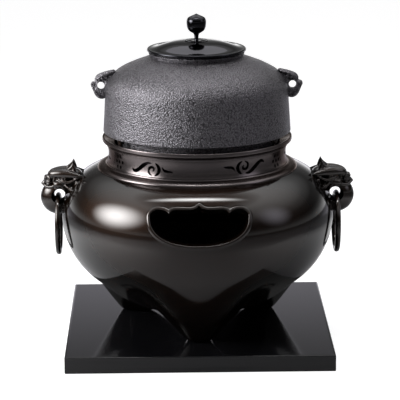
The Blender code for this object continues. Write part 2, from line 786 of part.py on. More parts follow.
def make_kettle():
    bottom_inside = list(reversed(kettle_bowl(-KETTLE_WALL, KETTLE_INSIDE_POINTS)))
    side_inside = list(reversed(kettle_side(-KETTLE_WALL, KETTLE_INSIDE_POINTS)))[1:-1]
    outline = bottom_inside
    outline += [(KETTLE_BOWL_RADIUS - KETTLE_WALL, KETTLE_WALL), (KETTLE_RADIUS - KETTLE_WALL, KETTLE_WALL)]
    outline += side_inside
    outline += [(MOUTH_RADIUS, MOUTH_BASE), (MOUTH_RADIUS, MOUTH_TOP), (MOUTH_OUTER, MOUTH_TOP)]
    outline += kettle_side(0)
    outline += [(KETTLE_RADIUS - KETTLE_EDGE, 0), (KETTLE_BOWL_RADIUS, 0)]
    outline += kettle_bowl(0)
    kettle = add_part("kettle_body", outline_mesh("kettle_body", outline, False), IRON, KETTLE)
    return turn(kettle, KETTLE_STEPS)


def kettle_lug_forms():
    """A small beast head facing +X with a loop through it, drawn in its own units from its hole."""
    bm = bmesh.new()
    blob(bm, (-1.2, 0, 0), (11.2, 5.5, 15))
    blob(bm, (-3, 0, 10.5), (8.5, 6.8, 4.4), 25)
    blob(bm, (7, 0, 3), (3.2, 3.6, 3))
    blob(bm, (0.5, 0, -8), (6.5, 5, 4.8))
    for side in (-1, 1):
        blob(bm, (2.5, side * 5, 8.2), (3, 2.4, 2.4))
        blob(bm, (-6.5, side * 5, 13.5), (5, 2.4, 3), 30)
    bmesh.ops.scale(bm, vec=(KETTLE_LUG_UNIT,) * 3, verts=bm.verts)
    return bm


def make_kettle_lugs():
    outline = [(0, MOUTH_BASE + FIT)] + kettle_side(FIT) + [(0, KETTLE_EDGE)]
    space = add_cutter("kettle_space", outline_mesh("kettle_space", outline, False))
    space.location.z = KETTLE_SEAT
    turn(space, KETTLE_STEPS)
    out = KETTLE_BREAK + KETTLE_LUG_OUT
    for side, turned in SIDES.items():
        place = Matrix.Rotation(turned, 4, "Z") @ Matrix.Translation((out, 0, KETTLE_LUG_UP))
        node = side + "_kettle_lug"
        lug = add_part(node, mesh_of(node, kettle_lug_forms()), IRON, KETTLE, place)
        fuse(lug, KETTLE_LUG_VOXEL, KETTLE_LUG_KEEP)
        cut(lug, space)
        spot = Matrix.Translation((0, 0, KETTLE_SEAT)) @ place
        curve = 2 * KETTLE_LUG_HALF_WIDTH
        cut(lug, ring_hole(node + "_hole", KETTLE_LUG_HOLE, KETTLE_LUG_HALF_WIDTH, curve, spot))


def lid_dome(drop):
    """The dome from its flat middle to the trough inside the rim, lowered by a drop."""
    trough = LID_RADIUS - LID_TROUGH
    fall = LID_DOME - LID_TROUGH_RISE
    points = []
    for i in range(LID_POINTS):
        share = i / (LID_POINTS - 1)
        r = LID_FLAT + (trough - LID_FLAT) * share
        points.append((r, LID_TOP - drop - fall * share**LID_CURVE))
    return points


def make_lid():
    plug = MOUTH_RADIUS - LID_PLUG_PLAY
    plug_inside = plug - LID_PLUG_WALL
    under = [p for p in lid_dome(LID_WALL) if p[0] < plug_inside]
    outline = [(SHANK_HOLE, LID_TOP)] + lid_dome(0)
    outline += [
        (LID_RADIUS - LID_TROUGH / 4, LID_RIM_THICK),
        (LID_RADIUS, LID_RIM_THICK * 3 / 4),
        (LID_RADIUS, LID_RIM_THICK / 2),
        (MOUTH_OUTER, 0),
        (plug, 0),
        (plug, -LID_PLUG_DEPTH),
        (plug_inside, -LID_PLUG_DEPTH),
        (plug_inside, under[-1][1] - LID_WALL / 4),
    ]
    outline += list(reversed(under)) + [(SHANK_HOLE, LID_TOP - LID_WALL)]
    lid = add_part("kettle_lid", outline_mesh("kettle_lid", outline, True), BLACK_BRONZE, LID)
    return turn(lid, LID_STEPS)


def make_knob():
    """The bud on its stem, the saucer under it, and the washer that the shank is peened over."""
    seat_low = LID_TOP + FIT
    seat_top = seat_low + SEAT_THICK
    saucer = [
        (SHANK_HOLE, seat_top),
        (0.6 * SEAT_RADIUS, seat_low + 0.6 * SEAT_THICK),
        (0.95 * SEAT_RADIUS, seat_top),
        (SEAT_RADIUS, seat_low + 0.7 * SEAT_THICK),
        (0.9 * SEAT_RADIUS, seat_low),
        (SHANK_HOLE, seat_low),
    ]
    seat = add_part("knob_seat", outline_mesh("knob_seat", saucer, True), BLACK_BRONZE, LID)
    turn(seat, KNOB_STEPS)
    washer_top = LID_TOP - LID_WALL - FIT
    washer_low = washer_top - WASHER_THICK
    ring = [
        (SHANK_HOLE, washer_top),
        (WASHER_RADIUS, washer_top),
        (WASHER_RADIUS, washer_low),
        (SHANK_HOLE, washer_low),
    ]
    washer = add_part("knob_washer", outline_mesh("knob_washer", ring, True), BLACK_BRONZE, LID)
    turn(washer, KNOB_STEPS)
    tip = LID_TOP + KNOB_HEIGHT
    widest = LID_TOP + KNOB_WIDEST
    stem = LID_TOP + KNOB_STEM_TOP
    crown = tip - widest
    belly = widest - stem
    waist = (KNOB_RADIUS, widest)
    point = (0.24 * KNOB_RADIUS, tip - 0.2 * crown)
    swell = (KNOB_RADIUS, tip - 0.3 * crown)
    bud = bezier((0, tip), point, swell, waist, KNOB_POINTS)
    swell = (KNOB_RADIUS, widest - 0.47 * belly)
    draw = (0.72 * KNOB_RADIUS, stem + 0.32 * belly)
    bud += bezier(waist, swell, draw, (KNOB_STEM_RADIUS, stem), KNOB_POINTS)[1:]
    shank = [
        (KNOB_STEM_RADIUS, seat_top + 0.4 * (stem - seat_top)),
        (KNOB_FOOT_RADIUS, seat_top + FIT),
        (KNOB_SHANK_RADIUS, seat_top + FIT),
        (KNOB_SHANK_RADIUS, washer_low - FIT),
        (PEEN_RADIUS, washer_low - FIT),
        (0.7 * PEEN_RADIUS, washer_low - FIT - PEEN_THICK),
        (0, washer_low - FIT - PEEN_THICK),
    ]
    knob = add_part("lid_knob", outline_mesh("lid_knob", bud + shank, False), BLACK_BRONZE, LID)
    turn(knob, KNOB_STEPS)


def main():
    make_board()
    space = bowl_space("bowl_space", FIT)
    holes = make_rivets()
    make_bowl(holes)
    make_feet(space, holes)
    make_collar()
    make_rests()
    make_masks(space, holes)
    make_rings()
    make_fire()
    make_kettle()
    make_kettle_lugs()
    make_lid()
    make_knob()


clear_scene()
PARTS = collection("tea_brazier", False)
CUTTERS = collection("tea_brazier_cutters", True)
LACQUER = finish("black lacquer", (0.008, 0.008, 0.009), 0.12, 0.0)
BRONZE = finish("dark polished bronze", (0.11, 0.085, 0.08), 0.28, 1.0)
IRON = finish("cast iron", (0.09, 0.088, 0.086), 0.75, 0.6)
BLACK_BRONZE = finish("blackened bronze", (0.012, 0.012, 0.013), 0.18, 1.0)
CLAY = finish("fired clay", (0.28, 0.17, 0.12), 0.9, 0.0)
ASH = finish("sifted ash", (0.20, 0.18, 0.16), 0.95, 0.0)
CHARCOAL = finish("oak charcoal", (0.015, 0.014, 0.014), 0.8, 0.0)
ROOT = add_empty("brazier", 0.0, None)
KETTLE = add_empty("kettle", KETTLE_SEAT, ROOT)
LID = add_empty("lid", LID_SEAT - KETTLE_SEAT, KETTLE)
main()
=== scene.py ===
"""The looks of a tea ceremony brazier, its kettle and its board, laid out as a Blender add-on."""

import math

import bmesh
import bpy
from bpy.props import FloatProperty, FloatVectorProperty, IntProperty, PointerProperty
from bpy.types import Operator, Panel, PropertyGroup
from mathutils import Matrix, Vector, noise


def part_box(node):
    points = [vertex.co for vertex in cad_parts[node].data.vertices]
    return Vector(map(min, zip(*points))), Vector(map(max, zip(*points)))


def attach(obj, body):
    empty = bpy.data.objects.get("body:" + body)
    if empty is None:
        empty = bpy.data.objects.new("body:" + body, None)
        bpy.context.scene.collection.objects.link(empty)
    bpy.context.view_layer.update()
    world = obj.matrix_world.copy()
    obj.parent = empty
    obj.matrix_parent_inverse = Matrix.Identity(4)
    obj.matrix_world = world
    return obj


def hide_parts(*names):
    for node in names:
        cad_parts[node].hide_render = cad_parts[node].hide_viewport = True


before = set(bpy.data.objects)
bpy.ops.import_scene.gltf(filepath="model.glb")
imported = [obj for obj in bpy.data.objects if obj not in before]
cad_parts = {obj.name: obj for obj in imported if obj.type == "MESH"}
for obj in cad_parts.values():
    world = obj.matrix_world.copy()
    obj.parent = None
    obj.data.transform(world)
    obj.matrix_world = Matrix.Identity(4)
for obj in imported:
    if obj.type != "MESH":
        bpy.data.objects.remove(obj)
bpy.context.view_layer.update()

bl_info = {
    "name": "Tea Ceremony Brazier",
    "version": (1, 0, 0),
    "blender": (4, 5, 0),
    "location": "View3D > Sidebar > Brazier",
    "description": "Models the surfaces and finishes of a bronze tea brazier around its solids",
    "category": "Object",
}

# Where the solids are
MM = 0.001
BOARD_LOW, BOARD_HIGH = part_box("base_board")
BOWL_LOW, BOWL_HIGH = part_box("brazier_bowl")
FOOT_LOW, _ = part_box("front_foot")
COLLAR_LOW, COLLAR_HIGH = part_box("neck_collar")
RING_LOW, RING_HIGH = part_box("right_ring")
TILE_LOW, TILE_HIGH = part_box("floor_tile")
ASH_LOW, ASH_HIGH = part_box("ash_bed")
COAL_LOW, COAL_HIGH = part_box("charcoal_2")
KETTLE_LOW, KETTLE_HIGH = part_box("kettle_body")
LID_LOW, LID_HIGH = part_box("kettle_lid")
SEAT_LOW, SEAT_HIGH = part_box("knob_seat")
KNOB_LOW, KNOB_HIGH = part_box("lid_knob")
WASHER_LOW, WASHER_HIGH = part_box("knob_washer")
BELLY_RADIUS = BOWL_HIGH.x
RING_RADIUS = (RING_HIGH.y - RING_LOW.y) / 2
RING_WIRE = (RING_HIGH.x - RING_LOW.x) / 2
SIDES = {"left": math.pi, "right": 0.0}
FOOT_AZIMUTHS = {"front": -90, "left_rear": 150, "right_rear": 30}
REST_PINS = ("left", "right", "rear")


# Settings

def linear(code):
    """A colour written as sRGB hex, as the linear values that shaders take."""
    values = [int(code[i : i + 2], 16) / 255 for i in (0, 2, 4)]
    return tuple(v / 12.92 if v <= 0.04045 else ((v + 0.055) / 1.055) ** 2.4 for v in values)


def length(name, description, default):
    """A setting in metres."""
    return FloatProperty(name=name, description=description, default=default, unit="LENGTH", precision=5)


def share(name, description, default):
    """A setting that is a share of another size."""
    return FloatProperty(name=name, description=description, default=default, subtype="FACTOR")


def number(name, description, default):
    """A setting with another unit or none."""
    return FloatProperty(name=name, description=description, default=default)


def angle(name, description, default):
    """A setting whose default is given in degrees."""
    value = math.radians(default)
    return FloatProperty(name=name, description=description, default=value, subtype="ANGLE")


def colour(name, description, code):
    """A setting whose default is given as sRGB hex."""
    return FloatVectorProperty(
        name=name, description=description, default=linear(code), subtype="COLOR", min=0, max=1
    )


class BrazierFinishes(PropertyGroup):
    """Colours of the finishes."""

    bronze: colour("Bronze", "Dark patina of the vessel", "1a120f")
    bronze_worn: colour("Worn bronze", "Patina where hands have rubbed it", "20160f")
    turned: colour("Turned bronze", "Scraped bronze of the collar", "605a5a")
    iron: colour("Iron", "Cast skin of the kettle", "757377")
    iron_deep: colour("Iron pits", "Hollows of the cast skin", "454346")
    black: colour("Black bronze", "Blackened bronze of the lid", "2c2c2f")
    lacquer: colour("Lacquer", "Black lacquer of the board", "0b0b0d")
    clay: colour("Clay", "Fired clay of the floor tile", "8f7361")
    ash: colour("Ash", "Sifted ash", "8d877d")
    coal: colour("Charcoal", "Oak charcoal", "242221")
    floor: colour("Floor", "Pale studio floor", "a4a4a6")


class BrazierVessel(PropertyGroup):
    """Sizes of the vessel."""

    shoulder_arc: length("Shoulder arc", "Radius of the curve above the widest line", 0.0535)
    wall: length("Wall", "Thickness of the cast wall", 0.004)
    mouth: length("Mouth", "Radius of the opening under the collar", 0.0945)
    belly_drop: length("Belly drop", "Extra depth of the bowl under its middle", 0.011)
    foot_centre: length("Foot centre", "Distance of each foot from the axis", 0.088)
    foot_tip: length("Foot tip", "Half width of the foot where it stands", 0.0125)
    foot_flare: share("Foot flare", "How fast the foot widens upwards", 0.95)
    foot_swell: number("Foot swell", "How fast the flare fades, per metre", 1.8)
    foot_depth: share("Foot depth", "Outer depth of a foot as a share of its width", 0.63)
    foot_inside: share("Foot inside", "Inner depth of a foot as a share of its width", 2.2)
    foot_blend: length("Foot blend", "How far the foot melts into the bowl", 0.022)
    foot_rivet: length("Foot rivet", "Distance of each foot's rivet from the axis", 0.082)
    columns: IntProperty(name="Columns", description="Faces around the vessel", default=288)
    window_half: length("Window half", "Half width of the fire window", 0.052)
    window_lobe: length("Window lobe", "Half width of each lobe of the window", 0.011)
    window_spring: length("Window spring", "Height of the lobes' feet over the widest line", 0.0265)
    window_drop: length("Window drop", "Depth of the window below the lobes' feet", 0.0285)
    lobe_rise: length("Lobe rise", "Height of the lobes", 0.0075)
    peak_rise: length("Peak rise", "Height of the middle peak", 0.012)
    lip_outside: length("Lip outside", "Width of the window's lip on the wall", 0.0042)
    lip_inside: length("Lip inside", "How far the lip narrows the window", 0.0004)
    lip_depth: length("Lip depth", "How far the lip reaches into the bowl", 0.009)
    lip_height: length("Lip height", "How far the lip stands proud", 0.0016)


class BrazierCollar(PropertyGroup):
    """Sizes of the collar."""

    bore: length("Bore", "Inner radius of the collar", 0.0905)
    neck: length("Neck", "Outer radius at the waist of the band", 0.097)
    neck_flare: length("Neck flare", "How far the band widens to its edges", 0.0018)
    ridge: length("Ridge", "Height of the flare on the bowl's shoulder", 0.0042)
    toe: length("Toe", "Outer radius of the flare on the bowl's shoulder", 0.110)
    rim_fall: length("Rim fall", "How far the rim's top falls towards the bore", 0.006)
    rim_face: length("Rim face", "Height of the rim's outer face", 0.0045)
    rim_under: length("Rim under", "Height of the hollow under the rim", 0.0045)
    spigot: length("Spigot", "Outer radius of the part inside the bowl", 0.0942)
    scroll_width: length("Scroll width", "Width of the pierced strokes", 0.0048)
    dot_radius: length("Dot radius", "Radius of the pierced dots", 0.0019)
    dot_ring: length("Dot ring", "Radius of the ring of dots", 0.0064)


class BrazierMask(PropertyGroup):
    """Sizes of the mask lugs."""

    hole_out: length("Hole out", "Distance of the ring's hole from the widest line", 0.0023)
    hole_up: length("Hole up", "Height of the ring's hole over the widest line", 0.021)
    hole: length("Hole", "Radius of the ring's hole", 0.0058)
    grain: length("Grain", "Finest detail of the carving", 0.0006)


class BrazierKettle(PropertyGroup):
    """Sizes of the kettle."""

    wall: length("Wall", "Thickness of the cast wall", 0.0045)
    taper: length("Taper", "How far the wall leans in", 0.0026)
    side: length("Side", "Height of the straight wall", 0.041)
    shoulder: length("Shoulder", "Height of the shoulder", 0.0405)
    depth: length("Depth", "Depth of the round bottom under the seat", 0.076)
    bottom: length("Bottom", "Radius of the round bottom", 0.088)
    skirt: length("Skirt", "Straight part of the bottom", 0.006)
    mouth: length("Mouth", "Inner radius of the mouth", 0.048)
    mouth_wall: length("Mouth wall", "Thickness of the mouth", 0.0045)
    mouth_undercut: length("Mouth undercut", "How far the lip stands out over its foot", 0.0018)
    mouth_height: length("Mouth height", "Height of the mouth's lip", 0.0045)
    lug_up: length("Lug up", "Height of the lug's hole over the seat", 0.050)
    lug_out: length("Lug out", "Distance of the lug's hole from the wall", 0.0046)
    lug_hole: length("Lug hole", "Radius of the lug's hole", 0.0040)
    lug_grain: length("Lug grain", "Finest detail of the lugs", 0.0005)


class BrazierStage(PropertyGroup):
    """Camera and floor."""

    azimuth: angle("Azimuth", "Camera's angle about the axis", -0.8)
    elevation: angle("Elevation", "Camera's angle over the horizon", 13.6)
    roll: angle("Roll", "Camera's tilt", -0.36)
    distance: length("Distance", "Camera's distance from its target", 2.375)
    target: length("Target", "Height that the camera looks at", 0.150)
    lens: number("Lens", "Focal length in millimetres", 192.8)
    shift_x: number("Shift X", "Sideways shift of the frame", 0.0063)
    shift_y: number("Shift Y", "Upward shift of the frame", 0.0083)
    floor_size: length("Floor size", "Side of the studio floor", 14.0)


class BrazierSettings(PropertyGroup):
    """All sizes and colours of the brazier."""

    finishes: PointerProperty(type=BrazierFinishes)
    vessel: PointerProperty(type=BrazierVessel)
    collar: PointerProperty(type=BrazierCollar)
    mask: PointerProperty(type=BrazierMask)
    kettle: PointerProperty(type=BrazierKettle)
    stage: PointerProperty(type=BrazierStage)


# Outlines

# Shares of a corner's legs: the most that a rounding takes, and how far its handles stay from the corner
CORNER_REACH = 0.49
CORNER_HANDLE = 0.45


def arc(centre, radius, start, end, count):
    """Points of an arc from one angle to another, in degrees."""
    angles = [math.radians(start + (end - start) * i / (count - 1)) for i in range(count)]
    return [(centre[0] + radius * math.cos(a), centre[1] + radius * math.sin(a)) for a in angles]


def bezier(p0, p1, p2, p3, count):
    """Points of a cubic curve with two end points and two handles."""
    points = []
    for i in range(count):
        t = i / (count - 1)
        u = 1 - t
        weights = (u**3, 3 * u * u * t, 3 * u * t * t, t**3)
        points.append(tuple(sum(w * p[k] for w, p in zip(weights, (p0, p1, p2, p3))) for k in (0, 1)))
    return points


def rounded(points, radius, count=5):
    """An open outline with its inner corners rounded."""
    spots = [Vector(p) for p in points]
    out = [tuple(spots[0])]
    for before, corner, after in zip(spots, spots[1:], spots[2:]):
        legs = (before - corner, after - corner)
        reach = min(radius, *(leg.length * CORNER_REACH for leg in legs))
        start, end = (corner + leg.normalized() * reach for leg in legs)
        near, far = (corner + (stop - corner) * CORNER_HANDLE for stop in (start, end))
        out += bezier(start, near, far, end, count)
    return out + [tuple(spots[-1])]


def passage(t, a, b, c, d):
    """A share of the way from b to c on the smooth curve through four values."""
    square = 2 * a - 5 * b + 4 * c - d
    cube = 3 * b - a - 3 * c + d
    return 0.5 * (2 * b + (c - a) * t + square * t**2 + cube * t**3)


def smooth_path(points, count):
    """Points along a smooth curve through the given points, of any dimension."""
    out = []
    last = len(points) - 1
    for i in range(last):
        near = [points[min(max(k, 0), last)] for k in (i - 1, i, i + 1, i + 2)]
        for step in range(count):
            out.append(tuple(passage(step / count, *values) for values in zip(*near)))
    return out + [tuple(points[last])]


# Meshes

NO_RADIUS = 1e-7
NO_MOVE = Matrix.Identity(4)


def skin(rows, is_loop=False):
    """A mesh through closed rings of points; a ring of one point closes an end."""
    bm = bmesh.new()
    rings = [[bm.verts.new(p) for p in row] for row in rows]
    pairs = list(zip(rings, rings[1:]))
    if is_loop:
        pairs.append((rings[-1], rings[0]))
    for upper, lower in pairs:
        for i in range(max(len(upper), len(lower))):
            corners = ((upper, i), (upper, i + 1), (lower, i + 1), (lower, i))
            unique = list(dict.fromkeys(ring[k % len(ring)] for ring, k in corners))
            if len(unique) > 2:
                bm.faces.new(unique)
    bmesh.ops.recalc_face_normals(bm, faces=bm.faces)
    return bm


def ring_of(radius, height, columns):
    """A ring of points about the axis, or one point where the radius is nothing."""
    if radius < NO_RADIUS:
        return [(0, 0, height)]
    turns = [2 * math.pi * i / columns for i in range(columns)]
    return [(radius * math.cos(a), radius * math.sin(a), height) for a in turns]


def turned(outline, columns, is_loop=False):
    """A turned solid; its outline runs in radius and height."""
    return skin([ring_of(r, z, columns) for r, z in outline], is_loop)


def prism(outline, place, half_depth):
    """A flat outline, run anticlockwise, thickened both ways along its own Z axis."""
    rows = [[(x, y, z) for x, y in outline] for z in (half_depth, -half_depth)]
    bm = bmesh.new()
    top, low = ([bm.verts.new(place @ Vector(p)) for p in row] for row in rows)
    bm.faces.new(top)
    bm.faces.new(list(reversed(low)))
    for i in range(len(top)):
        j = (i + 1) % len(top)
        bm.faces.new((top[i], low[i], low[j], top[j]))
    bmesh.ops.triangulate(bm, faces=bm.faces)
    return bm


def put(name, data):
    """A new object in the scene."""
    obj = bpy.data.objects.new(name, data)
    bpy.context.scene.collection.objects.link(obj)
    return obj


def solid(name, bm):
    """A new object whose mesh is taken from an edit mesh, which is then freed."""
    mesh = bpy.data.meshes.new(name)
    bm.to_mesh(mesh)
    bm.free()
    return put(name, mesh)


def adopt(obj, finish, body, *nodes, sharp=60):
    """Makes an object a finished piece of a body; it can stand for one or more solids."""
    mesh = obj.data
    mesh.shade_smooth()
    mesh.set_sharp_from_angle(angle=math.radians(sharp))
    mesh.materials.clear()
    mesh.materials.append(MATERIALS[finish])
    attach(obj, body)
    if nodes:
        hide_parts(*nodes)


def piece(name, bm, finish, body, *nodes, sharp=40, place=NO_MOVE):
    """Makes a finished piece from an edit mesh, put in its place."""
    bmesh.ops.transform(bm, matrix=place, verts=bm.verts)
    adopt(solid(name, bm), finish, body, *nodes, sharp=sharp)


def settle(obj):
    """Applies the modifiers of an object to its mesh."""
    graph = bpy.context.evaluated_depsgraph_get()
    mesh = bpy.data.meshes.new_from_object(obj.evaluated_get(graph))
    old = obj.data
    obj.modifiers.clear()
    obj.data = mesh
    bpy.data.meshes.remove(old)
    return obj


def carve(obj, *cutters):
    """Cuts an object with others, which are then removed."""
    for cutter in cutters:
        boolean = obj.modifiers.new(cutter.name, "BOOLEAN")
        boolean.operation = "DIFFERENCE"
        boolean.solver = "MANIFOLD"
        boolean.object = cutter
    settle(obj)
    for cutter in cutters:
        bpy.data.objects.remove(cutter, do_unlink=True)


# Clay, in millimetres

BEAD_FINENESS = 2
BALL_FINENESS = 4
THINNEST_BEAD = 0.3
STROKE_STEPS = 8
CURL_STEPS = 12
CURL_TURNS = 1.35
CURL_CLOSING = 0.86
CURL_RISE = 0.7
CURL_THINNING = 0.25


def unit_ball(subdivisions):
    """The points and faces of a ball of radius one."""
    bm = bmesh.new()
    bmesh.ops.create_icosphere(bm, subdivisions=subdivisions, radius=1.0)
    points = [vert.co.copy() for vert in bm.verts]
    faces = [tuple(vert.index for vert in face.verts) for face in bm.faces]
    bm.free()
    return points, faces


def bead(clay, spot, radius):
    """A small ball of clay."""
    clay.append((Matrix.Translation(spot) @ Matrix.Scale(radius, 4), BEAD_FINENESS))


def ball(clay, centre, half_sizes, tilt=0.0):
    """An egg of clay, tilted about Y by a number of degrees."""
    turn = Matrix.Rotation(math.radians(tilt), 4, "Y")
    clay.append((Matrix.Translation(centre) @ turn @ Matrix.Diagonal((*half_sizes, 1.0)), BALL_FINENESS))


def stroke(clay, points, side=1):
    """A ridge of clay along points of x, y, z and radius, on one side of the head."""
    for x, y, z, r in smooth_path(points, STROKE_STEPS):
        bead(clay, (x, y * side, z), max(r, THINNEST_BEAD))


def curl(clay, centre, radius, width, side, lean=0.0, start=0.0):
    """A snail curl of hair that faces sideways, and rises and thins towards its middle."""
    points = []
    for i in range(CURL_STEPS + 1):
        t = i / CURL_STEPS
        a = math.radians(start) + 2 * math.pi * CURL_TURNS * t
        r = radius * (1 - CURL_CLOSING * t)
        points.append((
            centre[0] + r * math.cos(a),
            centre[1] + lean * r * math.cos(a) + CURL_RISE * width * t,
            centre[2] + r * math.sin(a),
            width * (1 - CURL_THINNING * t),
        ))
    stroke(clay, points, side)


def lump(clay, place=NO_MOVE):
    """One mesh of all the balls of clay, put in its place at true size."""
    shapes = {fineness: unit_ball(fineness) for fineness in {fineness for _, fineness in clay}}
    points, faces = [], []
    for matrix, fineness in clay:
        first = len(points)
        full = place @ Matrix.Scale(MM, 4) @ matrix
        points += [full @ point for point in shapes[fineness][0]]
        faces += [tuple(first + i for i in face) for face in shapes[fineness][1]]
    mesh = bpy.data.meshes.new("clay")
    mesh.from_pydata(points, [], faces)
    return put("clay", mesh)


def sculpt(clay, grain, passes=3, keep=0.6):
    """Melts overlapping ridges and balls into one carved skin."""
    obj = lump(clay)
    remesh = obj.modifiers.new("Melt", "REMESH")
    remesh.mode = "VOXEL"
    remesh.voxel_size = grain
    soften = obj.modifiers.new("Soften", "SMOOTH")
    soften.iterations = passes
    thin = obj.modifiers.new("Thin", "DECIMATE")
    thin.ratio = keep
    return settle(obj)


def cast_of(model, name, place):
    """A copy of a carved model in its place."""
    mesh = model.data.copy()
    mesh.name = name
    mesh.transform(place)
    return put(name, mesh)


# Materials

MATERIALS = {}
QUARTER_TURN = 0.25
IRON_RELIEF = 0.35
POWDER_SHADE = 0.6


def add(tree, kind, settings=None, links=None):
    """A node with its settings and the sockets that feed it."""
    node = tree.nodes.new(kind)
    for key, value in (settings or {}).items():
        if isinstance(key, str) and hasattr(node, key):
            setattr(node, key, value)
        else:
            node.inputs[key].default_value = value
    for key, source in (links or {}).items():
        tree.links.new(source, node.inputs[key])
    return node


def blank(name):
    """An empty material with its shader and the piece's own coordinates."""
    material = bpy.data.materials.new(name)
    material.use_nodes = True
    tree = material.node_tree
    shader = tree.nodes["Principled BSDF"]
    where = add(tree, "ShaderNodeTexCoord").outputs["Object"]
    return material, tree, shader, where


def per_metre(millimetres):
    """The scale of a pattern whose marks have this size."""
    return 1000 / millimetres


def grains(tree, where, millimetres, detail, roughness=0.5):
    """Soft irregular marks of one size, as a value from 0 to 1."""
    settings = {"Scale": per_metre(millimetres), "Detail": detail, "Roughness": roughness}
    return add(tree, "ShaderNodeTexNoise", settings, {"Vector": where}).outputs["Fac"]


def ranged(tree, value, start, end, low, high, kind="LINEAR"):
    """A level that goes from low to high while a value goes from start to end."""
    settings = {"interpolation_type": kind, "From Min": start, "From Max": end}
    settings |= {"To Min": low, "To Max": high}
    return add(tree, "ShaderNodeMapRange", settings, {"Value": value}).outputs["Result"]


def combine(tree, operation, first, second):
    """Two values joined by a difference, a sum, a product or the larger one."""
    return add(tree, "ShaderNodeMath", {"operation": operation}, {0: first, 1: second}).outputs["Value"]


def tones(tree, factor, dark, light):
    """A colour between two tones."""
    settings = {"data_type": "RGBA", "A": (*dark, 1), "B": (*light, 1)}
    return add(tree, "ShaderNodeMix", settings, {"Factor": factor}).outputs["Result"]


def bumps(tree, height, strength, depth):
    """A surface made uneven by a pattern, to a depth in metres."""
    settings = {"Strength": strength, "Distance": depth}
    return add(tree, "ShaderNodeBump", settings, {"Height": height}).outputs["Normal"]


def feed(tree, shader, sources):
    """Links patterns to the sockets of a shader."""
    for socket, source in sources.items():
        tree.links.new(source, shader.inputs[socket])


def dark_bronze(name, low, high, dullness, turned_lines=0.0):
    """Cast bronze, scraped smooth, boiled to a brown patina and waxed.

    Wax over patina gives a clear, soft-edged gloss on a brown that is nearly black, with a slow
    change of tone over a hand's width and faint rubbing marks. Lathe lines smear the gloss upwards.
    """
    material, tree, shader, where = blank(name)
    clouds = grains(tree, where, millimetres=70, detail=3)
    speck = grains(tree, where, millimetres=4, detail=4)
    shader.inputs["Metallic"].default_value = 1.0
    shader.inputs["Coat Roughness"].default_value = 0.1
    if turned_lines:
        around = add(tree, "ShaderNodeTangent", {"direction_type": "RADIAL", "axis": "Z"})
        shader.inputs["Anisotropic"].default_value = turned_lines
        shader.inputs["Anisotropic Rotation"].default_value = QUARTER_TURN
        shader.inputs["Specular Tint"].default_value = (0.50, 0.45, 0.42, 1)
        shader.inputs["Coat Weight"].default_value = 0.1
        feed(tree, shader, {"Tangent": around.outputs["Tangent"]})
    else:
        shader.inputs["Specular Tint"].default_value = (0.2, 0.18, 0.17, 1)
        shader.inputs["Coat Weight"].default_value = 1.0
    feed(tree, shader, {
        "Base Color": tones(tree, clouds, low, high),
        "Roughness": ranged(tree, speck, 0, 1, *dullness),
        "Normal": bumps(tree, speck, strength=0.03, depth=0.0003),
    })
    return material


def rough_iron(finishes):
    """Cast iron with the sand mould's skin left on, baked dark with lacquer.

    The skin is a tight mat of grains of one to two millimetres, dull, with dark pits between them.
    """
    material, tree, shader, where = blank("sand cast iron")
    grain = grains(tree, where, millimetres=1.35, detail=2, roughness=0.6)
    pebble = add(tree, "ShaderNodeTexVoronoi", {"Scale": per_metre(1.6)}, {"Vector": where})
    height = combine(tree, "SUBTRACT", grain, pebble.outputs["Distance"])
    level = ranged(tree, height, -IRON_RELIEF, IRON_RELIEF, 0, 1)
    shader.inputs["Roughness"].default_value = 0.4
    shader.inputs["Metallic"].default_value = 1.0
    feed(tree, shader, {
        "Base Color": tones(tree, level, finishes.iron_deep, finishes.iron),
        "Normal": bumps(tree, level, strength=1.0, depth=0.00045),
    })
    return material


def black_bronze(finishes):
    """Bronze turned on a lathe, blackened and polished: a deep gloss, faintly uneven."""
    material, tree, shader, where = blank("blackened polished bronze")
    speck = grains(tree, where, millimetres=3, detail=3)
    shader.inputs["Base Color"].default_value = (*finishes.black, 1)
    shader.inputs["Metallic"].default_value = 1.0
    feed(tree, shader, {
        "Roughness": ranged(tree, speck, 0, 1, 0.06, 0.11),
        "Normal": bumps(tree, speck, strength=0.03, depth=0.0002),
    })
    return material


def black_lacquer(finishes):
    """Wood under many coats of black lacquer, rubbed to a mirror, with fine dust and a slow ripple."""
    material, tree, shader, where = blank("polished black lacquer")
    ripple = grains(tree, where, millimetres=45, detail=1)
    dust = grains(tree, where, millimetres=2.5, detail=4)
    shader.inputs["Base Color"].default_value = (*finishes.lacquer, 1)
    shader.inputs["IOR"].default_value = 1.5
    feed(tree, shader, {
        "Roughness": ranged(tree, dust, 0, 1, 0.07, 0.13),
        "Normal": bumps(tree, ripple, strength=0.02, depth=0.0004),
    })
    return material


def dry_powder(name, light, millimetres, depth):
    """A dull, dry surface of grains, such as ash or unglazed clay."""
    material, tree, shader, where = blank(name)
    grain = grains(tree, where, millimetres, detail=5)
    dark = tuple(c * POWDER_SHADE for c in light)
    shader.inputs["Roughness"].default_value = 0.95
    feed(tree, shader, {
        "Base Color": tones(tree, grain, dark, light),
        "Normal": bumps(tree, grain, strength=0.8, depth=depth),
    })
    return material


